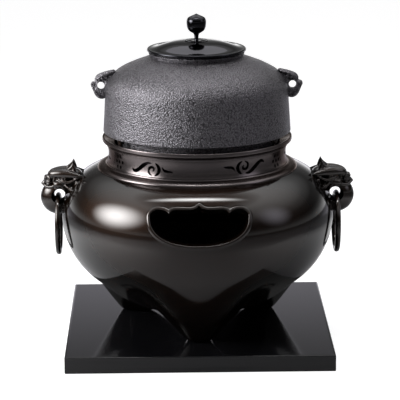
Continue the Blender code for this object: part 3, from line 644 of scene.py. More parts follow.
def make_materials(finishes):
    """Makes each finish once and keeps it under its short name."""
    bronze, worn, scraped = finishes.bronze, finishes.bronze_worn, finishes.turned
    MATERIALS["bronze"] = dark_bronze("waxed dark bronze", bronze, worn, (0.42, 0.50))
    MATERIALS["turned"] = dark_bronze("turned dark bronze", scraped, scraped, (0.23, 0.28), 0.85)
    MATERIALS["iron"] = rough_iron(finishes)
    MATERIALS["black"] = black_bronze(finishes)
    MATERIALS["lacquer"] = black_lacquer(finishes)
    MATERIALS["clay"] = dry_powder("unglazed clay", finishes.clay, 1.5, 0.0004)
    MATERIALS["ash"] = dry_powder("sifted ash", finishes.ash, 3.0, 0.0010)
    MATERIALS["coal"] = dry_powder("oak charcoal", finishes.coal, 1.2, 0.0006)


# Board

BOARD_EASE = 1.1 * MM
BOARD_BORDER = 2 * MM
# Area in square metres over which a face is one of the board's flat sides
SMALL_FACE = 1e-3


def build_board():
    """The lacquered board, its edges eased by hand."""
    size = BOARD_HIGH - BOARD_LOW
    bm = bmesh.new()
    matrix = Matrix.Translation((BOARD_LOW + BOARD_HIGH) / 2) @ Matrix.Diagonal((*size, 1.0))
    bmesh.ops.create_cube(bm, size=1.0, matrix=matrix)
    bmesh.ops.bevel(bm, geom=bm.edges, offset=BOARD_EASE, segments=5, profile=0.5, affect="EDGES")
    faces = [face for face in bm.faces if face.calc_area() > SMALL_FACE]
    bmesh.ops.inset_individual(bm, faces=faces, thickness=BOARD_BORDER)
    piece("board", bm, "lacquer", "board", "base_board", sharp=30)


# Vessel

# How softly a foot's side turns into its sole, and how far that turn is lowered
FOOT_EASE = 2.0 * MM
FOOT_SINK = 0.2 * MM
# The bowl's extra depth is full inside this radius and fades over this reach
DROP_RADIUS = 0.070
DROP_REACH = 0.048
FLOOR_RINGS = 14
# The window's oval is fuller than an ellipse, and its peak ends in a tip of this height
WINDOW_FULLNESS = 0.84
PEAK_TIP = 4.0 * MM
LIP_STEPS = 9


def under_arc(vessel):
    """The radius of the curve below the vessel's widest line."""
    return BOWL_HIGH.z - BOWL_LOW.z - vessel.shoulder_arc


def belly_height(vessel):
    """The height of the vessel's widest line."""
    return BOWL_HIGH.z - vessel.shoulder_arc


def vessel_side(vessel, offset, shoulder_points, under_points):
    """The vessel's side from the mouth to the floor, moved outwards by an offset."""
    height = belly_height(vessel)
    shoulder = vessel.shoulder_arc
    under = under_arc(vessel)
    top = arc((BELLY_RADIUS - shoulder, height), shoulder + offset, 90, 0, shoulder_points)
    low = arc((BELLY_RADIUS - under, height), under + offset, 0, -90, under_points)
    return top + low[1:]


def wall_radius(vessel, height):
    """The outer radius of the vessel at a height."""
    rise = height - belly_height(vessel)
    size = vessel.shoulder_arc if rise > 0 else under_arc(vessel)
    return BELLY_RADIUS - size + math.sqrt(max(size**2 - rise**2, 0.0))


def shoulder_height(vessel, radius):
    """The height of the vessel's shoulder at a radius."""
    out = radius - (BELLY_RADIUS - vessel.shoulder_arc)
    return belly_height(vessel) + math.sqrt(vessel.shoulder_arc**2 - max(out, 0.0) ** 2)


def soft_min(a, b, reach):
    """The smaller of two heights, with a rounded passage between them."""
    h = max(reach - abs(a - b), 0.0) / reach
    return min(a, b) - h**3 * reach / 6


def foot_height(vessel, x, y):
    """The height of the feet's faces over a place on the board."""
    height = float("inf")
    for azimuth in FOOT_AZIMUTHS.values():
        a = math.radians(azimuth)
        out = x * math.cos(a) + y * math.sin(a) - vessel.foot_centre
        across = -x * math.sin(a) + y * math.cos(a)
        depth = vessel.foot_depth if out > 0 else vessel.foot_inside
        reach = math.hypot(out / depth, across)
        square = vessel.foot_flare**2 - 4 * vessel.foot_swell * (reach - vessel.foot_tip)
        rise = (vessel.foot_flare - math.sqrt(max(square, 0.0))) / (2 * vessel.foot_swell)
        eased = 0.5 * (rise + math.sqrt(rise**2 + FOOT_EASE**2)) - FOOT_SINK
        height = min(height, FOOT_LOW.z + max(eased, 0.0))
    return height


def underside(vessel, radius, height):
    """The outside of the vessel, a little deeper under its middle than the circle of its side."""
    t = min(max((radius - DROP_RADIUS) / DROP_REACH, 0.0), 1.0)
    return height - vessel.belly_drop * (1 - t * t * (3 - 2 * t))


def vessel_rows(vessel):
    """Rings of the vessel: down the outside, over the feet, and up the inside."""
    columns = vessel.columns
    flat = BELLY_RADIUS - under_arc(vessel)
    outside = [(vessel.mouth, BOWL_HIGH.z - vessel.wall), (vessel.mouth, BOWL_HIGH.z)]
    outside += vessel_side(vessel, 0, shoulder_points=22, under_points=84)
    outside += [(flat * (1 - i / FLOOR_RINGS), BOWL_LOW.z) for i in range(1, FLOOR_RINGS + 1)]
    rows = []
    for r, z in outside:
        ring = []
        for x, y, _ in ring_of(r, z, columns):
            low = z
            if z < belly_height(vessel):
                low = soft_min(underside(vessel, r, z), foot_height(vessel, x, y), vessel.foot_blend)
            ring.append((x, y, max(low, FOOT_LOW.z)))
        rows.append(ring)
    inside = [(0.0, BOWL_LOW.z + vessel.wall)]
    inside += reversed(vessel_side(vessel, -vessel.wall, shoulder_points=14, under_points=18))
    rows += [ring_of(r, z, columns) for r, z in inside]
    return rows


def window_outline(vessel):
    """The fire window seen from the front: a half oval, two lobes and a peak."""
    spring = belly_height(vessel) + vessel.window_spring
    oval = []
    for x, y in arc((0, 0), 1.0, -180, 0, 61):
        full_x = math.copysign(abs(x) ** WINDOW_FULLNESS, x)
        full_y = math.copysign(abs(y) ** WINDOW_FULLNESS, y)
        oval.append((vessel.window_half * full_x, spring + vessel.window_drop * full_y))
    lobe_centre = vessel.window_half - vessel.window_lobe
    lobe = [
        (lobe_centre + vessel.window_lobe * x, spring + vessel.lobe_rise * y)
        for x, y in arc((0, 0), 1.0, 0, 150, 25)
    ]
    cusp = lobe[-1][0]
    peak = (0, spring + vessel.peak_rise)
    level = peak[1] - PEAK_TIP
    tip = 0.11 * cusp

    def at(x, rise=0.0):
        return x, level + rise * MM

    shoulder = bezier(lobe[-1], at(0.93 * cusp), at(0.80 * cusp), at(0.62 * cusp), 14)
    flat = bezier(shoulder[-1], at(0.45 * cusp), at(0.30 * cusp, -0.3), at(2 * tip, 0.3), 10)
    ogee = bezier(flat[-1], at(1.2 * tip, 0.8), at(0.5 * tip, 1.8), peak, 10)
    right = lobe[1:] + shoulder[1:] + flat[1:] + ogee[1:]
    left = [(-x, z) for x, z in reversed(right[:-1])]
    return oval + right + left[:-1]


def on_wall(vessel, x, z):
    """A place on the front of the vessel and the direction out of the wall there."""
    radius = wall_radius(vessel, z)
    y = -math.sqrt(radius**2 - x**2)
    rise = z - belly_height(vessel)
    size = vessel.shoulder_arc if rise > 0 else under_arc(vessel)
    level = radius - (BELLY_RADIUS - size)
    return Vector((x, y, z)), Vector((x / radius * level, y / radius * level, rise)).normalized()


def lip_rows(vessel):
    """The rolled lip of the window: a rounded bead that follows its outline on the wall."""
    outline = window_outline(vessel)
    wide, high, inner = vessel.lip_outside, vessel.lip_height, vessel.lip_inside
    section = []
    for i in range(LIP_STEPS + 1):
        swell = math.sin(math.pi * (0.08 + 0.62 * i / LIP_STEPS))
        section.append((wide * (1 - i / LIP_STEPS), high * swell - 0.4 * MM))
    section += [(-0.8 * inner, 0.25 * high), (-inner, -0.4 * high)]
    section += [(-inner, -vessel.lip_depth), (0.6 * wide, -vessel.lip_depth)]
    rows = []
    for i, (x, z) in enumerate(outline):
        spot, normal = on_wall(vessel, x, z)
        ahead, _ = on_wall(vessel, *outline[(i + 1) % len(outline)])
        behind, _ = on_wall(vessel, *outline[i - 1])
        along = (ahead - behind).normalized()
        across = along.cross(normal).normalized()
        rows.append([spot + across * out + normal * up for out, up in section])
    return rows


def build_vessel(settings):
    """The bowl and its feet in one smooth casting, with the window cut and its lip rolled."""
    vessel = settings.vessel
    body = solid("vessel", skin(vessel_rows(vessel), is_loop=True))
    place = Matrix.Translation((0, -BELLY_RADIUS, 0)) @ Matrix.Rotation(math.pi / 2, 4, "X")
    carve(body, solid("window", prism(window_outline(vessel), place, BELLY_RADIUS / 4)))
    feet = [f"{name}_foot" for name in FOOT_AZIMUTHS]
    adopt(body, "bronze", "brazier", "brazier_bowl", *feet, sharp=45)
    lip = skin(lip_rows(vessel), is_loop=True)
    piece("window_lip", lip, "bronze", "brazier", sharp=50)


# Collar

COLLAR_COLUMNS = 192
# The pierced band starts this far over the spigot's end
BAND_START = 8.2 * MM
CUT_DEPTH = 13 * MM
SCROLL_AZIMUTHS = (-150, -90, -30, 30, 90, 150)
DOT_AZIMUTHS = (-120, -60, 60, 120)


def collar_outline(collar, vessel):
    """The collar's section: rim, hollow, band, groove, flare and the spigot inside the bowl."""
    rim = COLLAR_HIGH.x
    top = COLLAR_HIGH.z
    face_low = top - collar.rim_face
    band_top = face_low - collar.rim_under
    ridge_top = BOWL_HIGH.z + collar.ridge - 0.6 * MM
    neck = collar.neck
    edge = neck + collar.neck_flare
    outline = rounded([
        (collar.bore, top - 8 * MM),
        (collar.bore, top - collar.rim_fall),
        (rim - 1.8 * MM, top),
        (rim, top),
        (rim, face_low),
        (rim - 3.2 * MM, face_low - 1.4 * MM),
        (edge + 0.8 * MM, face_low - 2.6 * MM),
    ], 1.3 * MM)
    outline += [
        (edge + 0.2 * MM, face_low - 2.8 * MM),
        (edge + 0.2 * MM, face_low - 3.3 * MM),
        (edge + 0.8 * MM, face_low - 3.5 * MM),
        (edge + 0.7 * MM, band_top - 0.2 * MM),
    ]
    outline += bezier(
        (edge, band_top - 0.6 * MM),
        (neck, band_top - 6 * MM),
        (neck, ridge_top + 6 * MM),
        (edge + 0.4 * MM, ridge_top + 1.2 * MM),
        14,
    )
    outline += [(edge + 0.1 * MM, ridge_top + 1.0 * MM), (edge + 0.1 * MM, ridge_top + 0.6 * MM)]
    toe = collar.toe
    toe_low = shoulder_height(vessel, toe) + 0.2 * MM
    knee, knee_top = 0.6 * edge + 0.4 * toe, toe_low + 3.5 * MM
    outline += bezier(
        (edge + 0.6 * MM, ridge_top + 0.4 * MM),
        (edge + 0.6 * MM, knee_top + 0.8 * MM),
        (knee - 2.2 * MM, knee_top),
        (knee, knee_top),
        8,
    )
    flare = bezier(
        (knee, knee_top),
        (knee + 3.4 * MM, knee_top),
        (toe, toe_low + 2.2 * MM),
        (toe, toe_low),
        12,
    )
    outline += flare[1:]
    middle = (toe + collar.spigot) / 2
    return outline + [
        (middle, shoulder_height(vessel, middle) + 0.2 * MM),
        (collar.spigot, BOWL_HIGH.z - 0.4 * MM),
        (collar.spigot, COLLAR_LOW.z),
        (collar.bore, COLLAR_LOW.z),
    ]


def brush(path, width):
    """The outline of a brush stroke along a curve, thin at both ends."""
    spine = [Vector(p) for p in path]
    last = len(spine) - 1
    left, right = [], []
    for i in range(1, last):
        along = (spine[i + 1] - spine[i - 1]).normalized()
        half = width / 2 * math.sqrt(math.sin(math.pi * i / last))
        across = Vector((-along.y, along.x)) * half
        left.append(tuple(spine[i] + across))
        right.append(tuple(spine[i] - across))
    return [tuple(spine[0])] + right + [tuple(spine[-1])] + list(reversed(left))


def scroll_outlines(collar, band):
    """A scroll of four brush strokes, in shares of the band's height."""
    tail = bezier((-1.36, -0.09), (-1.02, -0.62), (-0.60, 0.44), (-0.02, 0.27), 17)
    hook = smooth_path([
        (0.0, -0.36), (-0.17, -0.29), (-0.235, -0.14), (-0.18, 0.01),
        (-0.05, 0.07), (0.07, 0.02), (0.08, -0.08), (0.0, -0.14),
    ], 4)
    crescent = bezier((0.15, 0.30), (0.47, 0.17), (0.47, -0.25), (0.12, -0.375), 15)
    leaf = bezier((0.55, 0.15), (0.66, -0.20), (0.86, -0.04), (1.19, -0.14), 13)
    outlines = []
    for path, width in ((tail, 0.95), (hook, 0.62), (crescent, 0.85), (leaf, 0.62)):
        outlines.append(brush([(band * x, band * y) for x, y in path], width * collar.scroll_width))
    return outlines


def dot_outlines(collar):
    """A dot with six dots about it."""
    centres = [(0, 0)] + arc((0, 0), collar.dot_ring, 0, 300, 6)
    return [arc(centre, collar.dot_radius, 0, 345, 24) for centre in centres]


def collar_cuts(collar):
    """The pierced figures of the band."""
    low = COLLAR_LOW.z + BAND_START
    high = COLLAR_HIGH.z - collar.rim_face - collar.rim_under
    figures = [(a, scroll_outlines(collar, high - low)) for a in SCROLL_AZIMUTHS]
    figures += [(a, dot_outlines(collar)) for a in DOT_AZIMUTHS]
    upright = Matrix(((0, 0, 1, 0), (1, 0, 0, 0), (0, 1, 0, 0), (0, 0, 0, 1)))
    cuts = bmesh.new()
    for azimuth, outlines in figures:
        about = Matrix.Rotation(math.radians(azimuth - 90), 4, "Z")
        place = about @ Matrix.Translation((collar.bore, 0, (low + high) / 2)) @ upright
        if azimuth > 0:
            place = place @ Matrix.Rotation(math.pi, 4, "Z")
        for outline in outlines:
            mesh = bpy.data.meshes.new("figure")
            shape = prism(outline, place, CUT_DEPTH)
            shape.to_mesh(mesh)
            shape.free()
            cuts.from_mesh(mesh)
            bpy.data.meshes.remove(mesh)
    return solid("figures", cuts)


def build_collar(settings):
    """The turned collar with its pierced band."""
    collar = settings.collar
    outline = collar_outline(collar, settings.vessel)
    body = solid("collar", turned(outline, COLLAR_COLUMNS, is_loop=True))
    carve(body, collar_cuts(collar))
    adopt(body, "turned", "brazier", "neck_collar", sharp=35)


# Small fastenings

FASTENING_COLUMNS = 32
# Degrees over the widest line at which the masks' rivets pass the wall
MASK_RIVET_TILTS = {"upper": 40, "lower": 4}
RIVET_HEAD = 5.0 * MM
RIVET_SHANK = 2.2 * MM
RIVET_GRIP = 10 * MM
RIVET_SEAT = -0.1 * MM
RIVET_EDGE = 0.3 * MM
RIVET_DOME = 2.2 * MM
# The rest pins: rounding of the top, height of the step to the shaft, and the shaft's share of the radius
PIN_EDGE = 1.2 * MM
PIN_STEP = 4.4 * MM
PIN_SHAFT = 0.55


def rivet_places(vessel):
    """Each rivet's name, and its place on the bowl's inner wall with Z pointing out through it."""
    under = under_arc(vessel)
    spots = []
    for side, azimuth in SIDES.items():
        for row, tilt in MASK_RIVET_TILTS.items():
            spots.append((f"{side}_mask_{row}_rivet", vessel.shoulder_arc, math.radians(tilt), azimuth))
    for foot, azimuth in FOOT_AZIMUTHS.items():
        out = vessel.foot_rivet - (BELLY_RADIUS - under)
        tilt = math.asin(out / under) - math.pi / 2
        spots.append((f"{foot}_foot_rivet", under, tilt, math.radians(azimuth)))
    for node, size, tilt, azimuth in spots:
        inner = size - vessel.wall
        out = BELLY_RADIUS - size + inner * math.cos(tilt)
        up = belly_height(vessel) + inner * math.sin(tilt)
        lean = Matrix.Rotation(math.pi / 2 - tilt, 4, "Y")
        yield node, Matrix.Rotation(azimuth, 4, "Z") @ Matrix.Translation((out, 0, up)) @ lean


def build_rivets(settings):
    """Rivets with domed heads inside the bowl."""
    dome = [(RIVET_HEAD * x, -RIVET_EDGE - RIVET_DOME * y) for x, y in arc((0, 0), 1.0, 0, 90, 9)]
    outline = [(0, RIVET_GRIP), (RIVET_SHANK, RIVET_GRIP)]
    outline += [(RIVET_SHANK, RIVET_SEAT), (RIVET_HEAD, RIVET_SEAT)]
    outline += dome[:-1] + [(0, dome[-1][1])]
    for node, place in rivet_places(settings.vessel):
        name = node.replace("rivet", "rivet_head")
        piece(name, turned(outline, FASTENING_COLUMNS), "bronze", "brazier", node, place=place)


def build_pins():
    """Rest pins on the rim, which carry the kettle."""
    for name in REST_PINS:
        node = f"{name}_rest_pin"
        low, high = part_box(node)
        radius = (high.y - low.y) / 2 if name == "rear" else (high.x - low.x) / 2
        centre = (low + high) / 2
        shaft = PIN_SHAFT * radius
        height = high.z - low.z
        outline = [(0, height)] + arc((radius - PIN_EDGE, height - PIN_EDGE), PIN_EDGE, 90, 0, 7)
        outline += [(radius, PIN_STEP), (shaft, PIN_STEP), (shaft, 0), (0, 0)]
        place = Matrix.Translation((centre.x, centre.y, low.z))
        piece(f"{name}_pin", turned(outline, FASTENING_COLUMNS), "bronze", "brazier", node, place=place)


# Mask lugs and rings

WAY_STEPS = 16
WAY_COLUMNS = 48
WALL_COLUMNS = 160
RING_STEPS = 128
# How far the masks are sunk in the wall, and half the width of the hole through them
MASK_SINK = 2 * MM
MASK_HOLE_HALF = 26 * MM
# The pits of nostril and pupil: place and radius in millimetres, on one side of the head
NOSTRIL_PIT = (14.8, 8.2, 38.6, 1.5)
PUPIL_PIT = (-3.6, 15.2, 40.8, 1.5)
# How much thinner the ring's wire is at the top, as half the share
RING_THINNING = 0.02


def mask_clay():
    """A horned beast head that faces +X, in millimetres from the vessel's widest line."""
    clay = []
    # Jaw, neck, skull, crown, back of the head and snout
    ball(clay, (4.5, 0, 18.0), (18.8, 13.5, 19.5))
    ball(clay, (-7, 0, 20), (10.5, 15, 20))
    ball(clay, (-5, 0, 38), (16, 12.5, 11.5))
    ball(clay, (-3, 0, 43), (14, 11.5, 6.6), -4)
    ball(clay, (-16, 0, 42), (9, 15, 7), -30)
    ball(clay, (10.5, 0, 38), (9, 6.6, 5.2), 6)
    stroke(clay, [(13, 0, 35.4, 4.2), (17.5, 0, 34.6, 3.2), (20.5, 0, 33.4, 1.9), (22, 0, 32.8, 0.7)])
    for side in (-1, 1):
        # Brow, horns, eye and the lock under it
        stroke(clay, [
            (12.8, 4, 43, 2.8), (8.5, 6.4, 44.6, 4.2), (1, 9, 45.2, 5.2),
            (-7.5, 11.6, 45.2, 4.9), (-16, 15, 44.6, 3.4), (-24, 18.4, 43.6, 0.8),
        ], side)
        curl(clay, (10.6, 6.8, 43), 3.0, 1.2, side, start=100)
        stroke(clay, [
            (-7.5, 9.5, 49.6, 2.0), (-10.5, 10, 51.4, 2.2), (-12.6, 10.4, 54.2, 1.7), (-13.4, 10.8, 58, 0.5),
        ], side)
        stroke(clay, [(-14.6, 11, 48.5, 2.6), (-14.4, 11, 52, 1.8), (-13.8, 10.9, 55.8, 0.9)], side)
        ball(clay, (-4, side * 11.6, 40.4), (3.6, 3.2, 3.2))
        stroke(clay, [
            (2.5, 11.4, 39.6, 1.0), (-2, 13.6, 37.4, 1.5), (-8, 15, 36.8, 2.0),
            (-13, 16, 38.6, 1.7), (-19.5, 17.6, 42, 0.6),
        ], side)
        # Cheek, nose and lips
        ball(clay, (1, side * 9.6, 33.4), (8, 4.6, 4.6))
        ball(clay, (17, side * 3.4, 39.6), (2.4, 2.4, 2.6))
        stroke(clay, [
            (14.6, 5.6, 41.4, 1.3), (12.2, 7.2, 39.0, 1.5), (13.2, 7.4, 36.2, 1.4), (16.4, 6, 35.4, 1.2),
        ], side)
        stroke(clay, [(9.8, 7, 42.2, 1.0), (7.6, 9, 39.4, 1.2), (8.2, 9.4, 36, 1.2)], side)
        stroke(clay, [
            (21.2, 1.2, 33.0, 1.0), (18.2, 5, 31.6, 1.5), (14, 7.8, 30.2, 1.7),
            (9.4, 9.6, 31.2, 1.7), (5.4, 11, 34, 1.4),
        ], side)
        stroke(clay, [(16.2, 6.2, 30.6, 1.2), (16.4, 6.6, 27.6, 0.5)], side)
        stroke(clay, [(15.2, 7.6, 27.2, 1.0), (9, 9.8, 28.4, 1.1), (2.5, 11.4, 29.6, 1.1)], side)
        # Locks and curls of the mane
        stroke(clay, [
            (-5, 14, 33, 1.5), (-10, 17, 29, 1.7), (-12.6, 18, 23, 1.5), (-12, 16.6, 16, 1.0),
        ], side)
        stroke(clay, [
            (-1.5, 12, 30.5, 1.5), (-6, 14.6, 25, 1.6), (-8, 14.6, 18, 1.4), (-7, 12.6, 11, 0.9),
        ], side)
        curl(clay, (-11.5, 17.2, 19), 3.3, 1.2, side, lean=-0.3, start=40)
        curl(clay, (-13.5, 19.4, 28), 3.8, 1.4, side, lean=-0.4, start=60)
        curl(clay, (-17.5, 21.4, 35), 3.6, 1.3, side, lean=-0.5, start=80)
    return clay


def ring_way(radius, curve, half_width, place):
    """The hole for a ring, opening out at both ends to follow the ring's curve."""
    offsets = [half_width * (1 - 2 * i / WAY_STEPS) for i in range(WAY_STEPS + 1)]
    outline = [(0, half_width)]
    outline += [(radius + curve - math.sqrt(curve**2 - y**2), y) for y in offsets]
    outline += [(0, -half_width)]
    bm = turned(outline, WAY_COLUMNS)
    along_y = Matrix.Rotation(-math.pi / 2, 4, "X")
    bmesh.ops.transform(bm, matrix=place @ along_y, verts=bm.verts)
    return solid("way", bm)


def build_masks(settings):
    """Two beast-mask lugs, seated in the vessel's wall."""
    vessel, mask = settings.vessel, settings.mask
    seat = [(0, BOWL_HIGH.z - MASK_SINK)]
    seat += vessel_side(vessel, -MASK_SINK, shoulder_points=24, under_points=36)
    seat += [(0, BOWL_LOW.z + MASK_SINK)]
    pits = []
    for side_of_head in (-1, 1):
        for x, y, z, radius in (NOSTRIL_PIT, PUPIL_PIT):
            bead(pits, (x, y * side_of_head, z), radius)
    model = sculpt(mask_clay(), mask.grain)
    for side, azimuth in SIDES.items():
        place = Matrix.Rotation(azimuth, 4, "Z")
        place = place @ Matrix.Translation((BELLY_RADIUS, 0, belly_height(vessel)))
        lug = cast_of(model, f"{side}_mask", place)
        spot = place @ Matrix.Translation((mask.hole_out, 0, mask.hole_up))
        way = ring_way(mask.hole, RING_RADIUS - 2 * RING_WIRE, MASK_HOLE_HALF, spot)
        carve(lug, solid("seat", turned(seat, WALL_COLUMNS)), way, lump(pits, place))
        adopt(lug, "bronze", "brazier", f"{side}_mask_lug")
    bpy.data.objects.remove(model, do_unlink=True)


def build_rings():
    """Two cast rings that hang in the lugs, a little thicker at the bottom."""
    radius = RING_RADIUS - RING_WIRE
    for side in SIDES:
        low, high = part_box(f"{side}_ring")
        centre = (low + high) / 2
        rows = []
        for i in range(RING_STEPS):
            a = 2 * math.pi * i / RING_STEPS
            out = Vector((0, math.sin(a), math.cos(a)))
            size = RING_WIRE * (1 - RING_THINNING * (1 + math.cos(a)))
            rows.append([
                centre + out * (radius + size * x) + Vector((size * y, 0, 0))
                for x, y in arc((0, 0), 1.0, 0, 345, 24)
            ])
        piece(f"{side}_hanging_ring", skin(rows, is_loop=True), "bronze", f"{side}_ring", f"{side}_ring")


# Fire

TILE_COLUMNS = 96
TILE_EDGE = 1.5 * MM
ASH_RINGS = 40
ASH_COLUMNS = 96
# The ash is flat inside this radius in metres. Its rise and its unevenness are in millimetres
ASH_FLAT = 0.060
ASH_RISE = 10.5
ASH_HOLLOW = 1.2
ASH_RIPPLE = 0.5
HOLLOWS_PER_METRE = 28
RIPPLES_PER_METRE = 90
# The ash's underside as a share of its radius
ASH_FOOT = 0.62
COAL_AZIMUTHS = (-30, 90, 210)
COAL_COLUMNS = 72
COAL_RINGS = 14
# Cracks in a sawn end and how narrow they are
COAL_CRACKS = 12
COAL_NARROWNESS = 8
# The bark's height in millimetres, and its marks about the stick and per metre along it
COAL_BARK = 0.7
BARK_ABOUT = 4
BARK_PER_METRE = 60
COAL_END_SHARES = (0.15, 0.35, 0.55, 0.75, 0.92)
COAL_CRACK_DEPTH = 2.2 * MM


def ash_rows():
    """Ash banked up to the wall, with soft hollows left by the spoon."""
    radius = ASH_HIGH.x - 0.4 * MM
    flat = ASH_HIGH.z - 11 * MM
    rows = []
    for i in range(1, ASH_RINGS + 1):
        r = radius * i / ASH_RINGS
        bank = max(0.0, (r - ASH_FLAT) / (radius - ASH_FLAT))
        ring = []
        for x, y, _ in ring_of(r, 0, ASH_COLUMNS):
            hollow = noise.noise(Vector((x, y, 0)) * HOLLOWS_PER_METRE) * ASH_HOLLOW * MM
            ripple = noise.noise(Vector((x, y, 3)) * RIPPLES_PER_METRE) * ASH_RIPPLE * MM
            ring.append((x, y, flat + bank * ASH_RISE * MM + (hollow + ripple) * min(1.0, bank * 2 + 0.2)))
        rows.append(ring)
    low = ASH_LOW.z + 1.0 * MM
    base = [[(x * ASH_FOOT, y * ASH_FOOT, low) for x, y, _ in rows[-1]]]
    return [[(0, 0, flat)]] + rows + base + [[(0, 0, low)]]


def coal_rows(seed, radius, size):
    """A stick of charcoal: ribbed bark outside and cracks like petals in its sawn ends."""

    def ring(x, share_out, depth):
        points = []
        for i in range(COAL_COLUMNS):
            a = 2 * math.pi * i / COAL_COLUMNS
            waver = noise.noise(Vector((seed, a * 2, 0))) * 2
            split = max(0.0, math.cos(a * COAL_CRACKS + waver)) ** COAL_NARROWNESS
            spot = (math.cos(a) * BARK_ABOUT, math.sin(a) * BARK_ABOUT, x * BARK_PER_METRE + seed)
            bark = noise.noise(Vector(spot)) * COAL_BARK * MM
            r = share_out * (radius - 0.8 * MM + bark - 0.6 * MM * split)
            points.append((r * math.cos(a), r * math.sin(a), x + depth * split))
        return points

    rows = [[(0, 0, 0.2 * MM)]]
    rows += [ring(0.0, s, COAL_CRACK_DEPTH) for s in COAL_END_SHARES]
    rows += [ring(size * (0.02 + 0.96 * i / COAL_RINGS), 1.0, 0.0) for i in range(COAL_RINGS + 1)]
    rows += [ring(size, s, -COAL_CRACK_DEPTH) for s in reversed(COAL_END_SHARES)]
    return rows + [[(0, 0, size - 0.2 * MM)]]


def build_fire():
    """The clay tile, the ash over it and three sticks of charcoal."""
    out = TILE_HIGH.x - TILE_EDGE
    thick = TILE_HIGH.z - TILE_LOW.z
    outline = [(0, thick)] + arc((out, thick - TILE_EDGE), TILE_EDGE, 90, 0, 6)
    outline += arc((out, TILE_EDGE), TILE_EDGE, 0, -90, 6) + [(0, 0)]
    place = Matrix.Translation((0, 0, TILE_LOW.z))
    piece("clay_tile", turned(outline, TILE_COLUMNS), "clay", "brazier", "floor_tile", place=place)
    piece("ash", skin(ash_rows()), "ash", "brazier", "ash_bed", sharp=60)
    radius = (COAL_HIGH.z - COAL_LOW.z) / 2
    lying = Matrix.Translation((COAL_LOW.y, 0, (COAL_LOW.z + COAL_HIGH.z) / 2))
    lying = lying @ Matrix.Rotation(math.pi / 2, 4, "Y")
    for i, azimuth in enumerate(COAL_AZIMUTHS):
        about = Matrix.Rotation(math.radians(azimuth), 4, "Z")
        stick = skin(coal_rows(i * 5.0, radius, COAL_HIGH.y - COAL_LOW.y))
        name, node = f"coal_stick_{i + 1}", f"charcoal_{i + 1}"
        piece(name, stick, "coal", "brazier", node, sharp=55, place=about @ lying)


# Kettle

KETTLE_COLUMNS = 224
LUG_WALL_COLUMNS = 128
KETTLE_FOOT_EDGE = 0.8 * MM
SIDE_STEPS = 8
# Handles of the shoulder's curve: reach and fall at the mouth, and rise at the wall
SHOULDER_REACH = 0.64
SHOULDER_FALL = 0.36
SHOULDER_RISE = 0.58
# Powers that make the round bottom fuller than an ellipse at its sides
BOTTOM_WIDTH_POWER = 0.8
BOTTOM_DEPTH_POWER = 1.1
# How deep the uneven cast skin is, and the size of its unevenness
SKIN_DEPTH = 0.15 * MM
SKIN_SIZE = 6 * MM
# How far the lugs are sunk in the wall, the curve of their holes' ends and half their width
LUG_SINK = 1.5 * MM
LUG_HOLE_CURVE = 16 * MM
LUG_HOLE_HALF = 8 * MM


def kettle_seat(kettle):
    """The height of the wall's foot, where the round bottom starts."""
    return KETTLE_LOW.z + kettle.depth


def kettle_shoulder(kettle, offset, count):
    """The kettle's shoulder, from the mouth's foot to the top of its wall."""
    mouth = kettle.mouth + kettle.mouth_wall - kettle.mouth_undercut
    wall_top = KETTLE_HIGH.x - kettle.taper
    reach = SHOULDER_REACH * (wall_top - mouth)
    start = (mouth + offset, kettle.side + kettle.shoulder)
    end = (wall_top + offset, kettle.side)
    near = (start[0] + reach, start[1] + offset / 2 - SHOULDER_FALL * reach)
    far = (end[0], end[1] + SHOULDER_RISE * kettle.shoulder + offset / 2)
    return bezier(start, near, far, end, count)


def kettle_bottom(kettle, offset, count):
    """The round bottom, from the seat down to the axis."""
    radius = kettle.bottom + offset
    depth = kettle.depth - kettle.skirt + offset
    points = []
    for x, y in arc((0, 0), 1.0, 0, -90, count)[:-1]:
        down = depth * abs(y) ** BOTTOM_DEPTH_POWER
        points.append((radius * x**BOTTOM_WIDTH_POWER, -kettle.skirt - down))
    return points + [(0, -kettle.depth - offset)]


def kettle_outline(kettle):
    """The kettle's section, from the inside of its bottom to the outside of its bottom."""
    wall = kettle.wall
    foot = KETTLE_HIGH.x
    mouth = kettle.mouth + kettle.mouth_wall
    base = kettle.side + kettle.shoulder
    top = base + kettle.mouth_height
    outline = list(reversed(kettle_bottom(kettle, -wall, 20)))
    outline += [(kettle.bottom - wall, wall), (foot - wall, wall)]
    outline += list(reversed(kettle_shoulder(kettle, -wall, 20)))[:-1]
    outline += rounded([
        (kettle.mouth, base),
        (kettle.mouth, top),
        (mouth, top),
        (mouth - kettle.mouth_undercut, base + 0.3 * MM),
    ], 0.8 * MM)
    outline += kettle_shoulder(kettle, 0, 36)[1:]
    for i in range(1, SIDE_STEPS):
        rest = 1 - i / SIDE_STEPS
        outline.append((foot - kettle.taper * rest, kettle.side * rest))
    outline += arc((foot - KETTLE_FOOT_EDGE, KETTLE_FOOT_EDGE), KETTLE_FOOT_EDGE, 0, -90, 7)
    return outline + [(kettle.bottom + 1.0 * MM, 0)] + kettle_bottom(kettle, 0, 24)


def cast_skin(bm):
    """Gives a mesh the small unevenness of a sand casting, as real shape."""
    bm.normal_update()
    for vert in bm.verts:
        vert.co += vert.normal * SKIN_DEPTH * noise.noise(vert.co / SKIN_SIZE)


def build_kettle(settings):
    """The iron kettle with its sand-cast skin."""
    kettle = settings.kettle
    body = turned(kettle_outline(kettle), KETTLE_COLUMNS)
    cast_skin(body)
    place = Matrix.Translation((0, 0, kettle_seat(kettle)))
    piece("kettle", body, "iron", "kettle", "kettle_body", sharp=50, place=place)


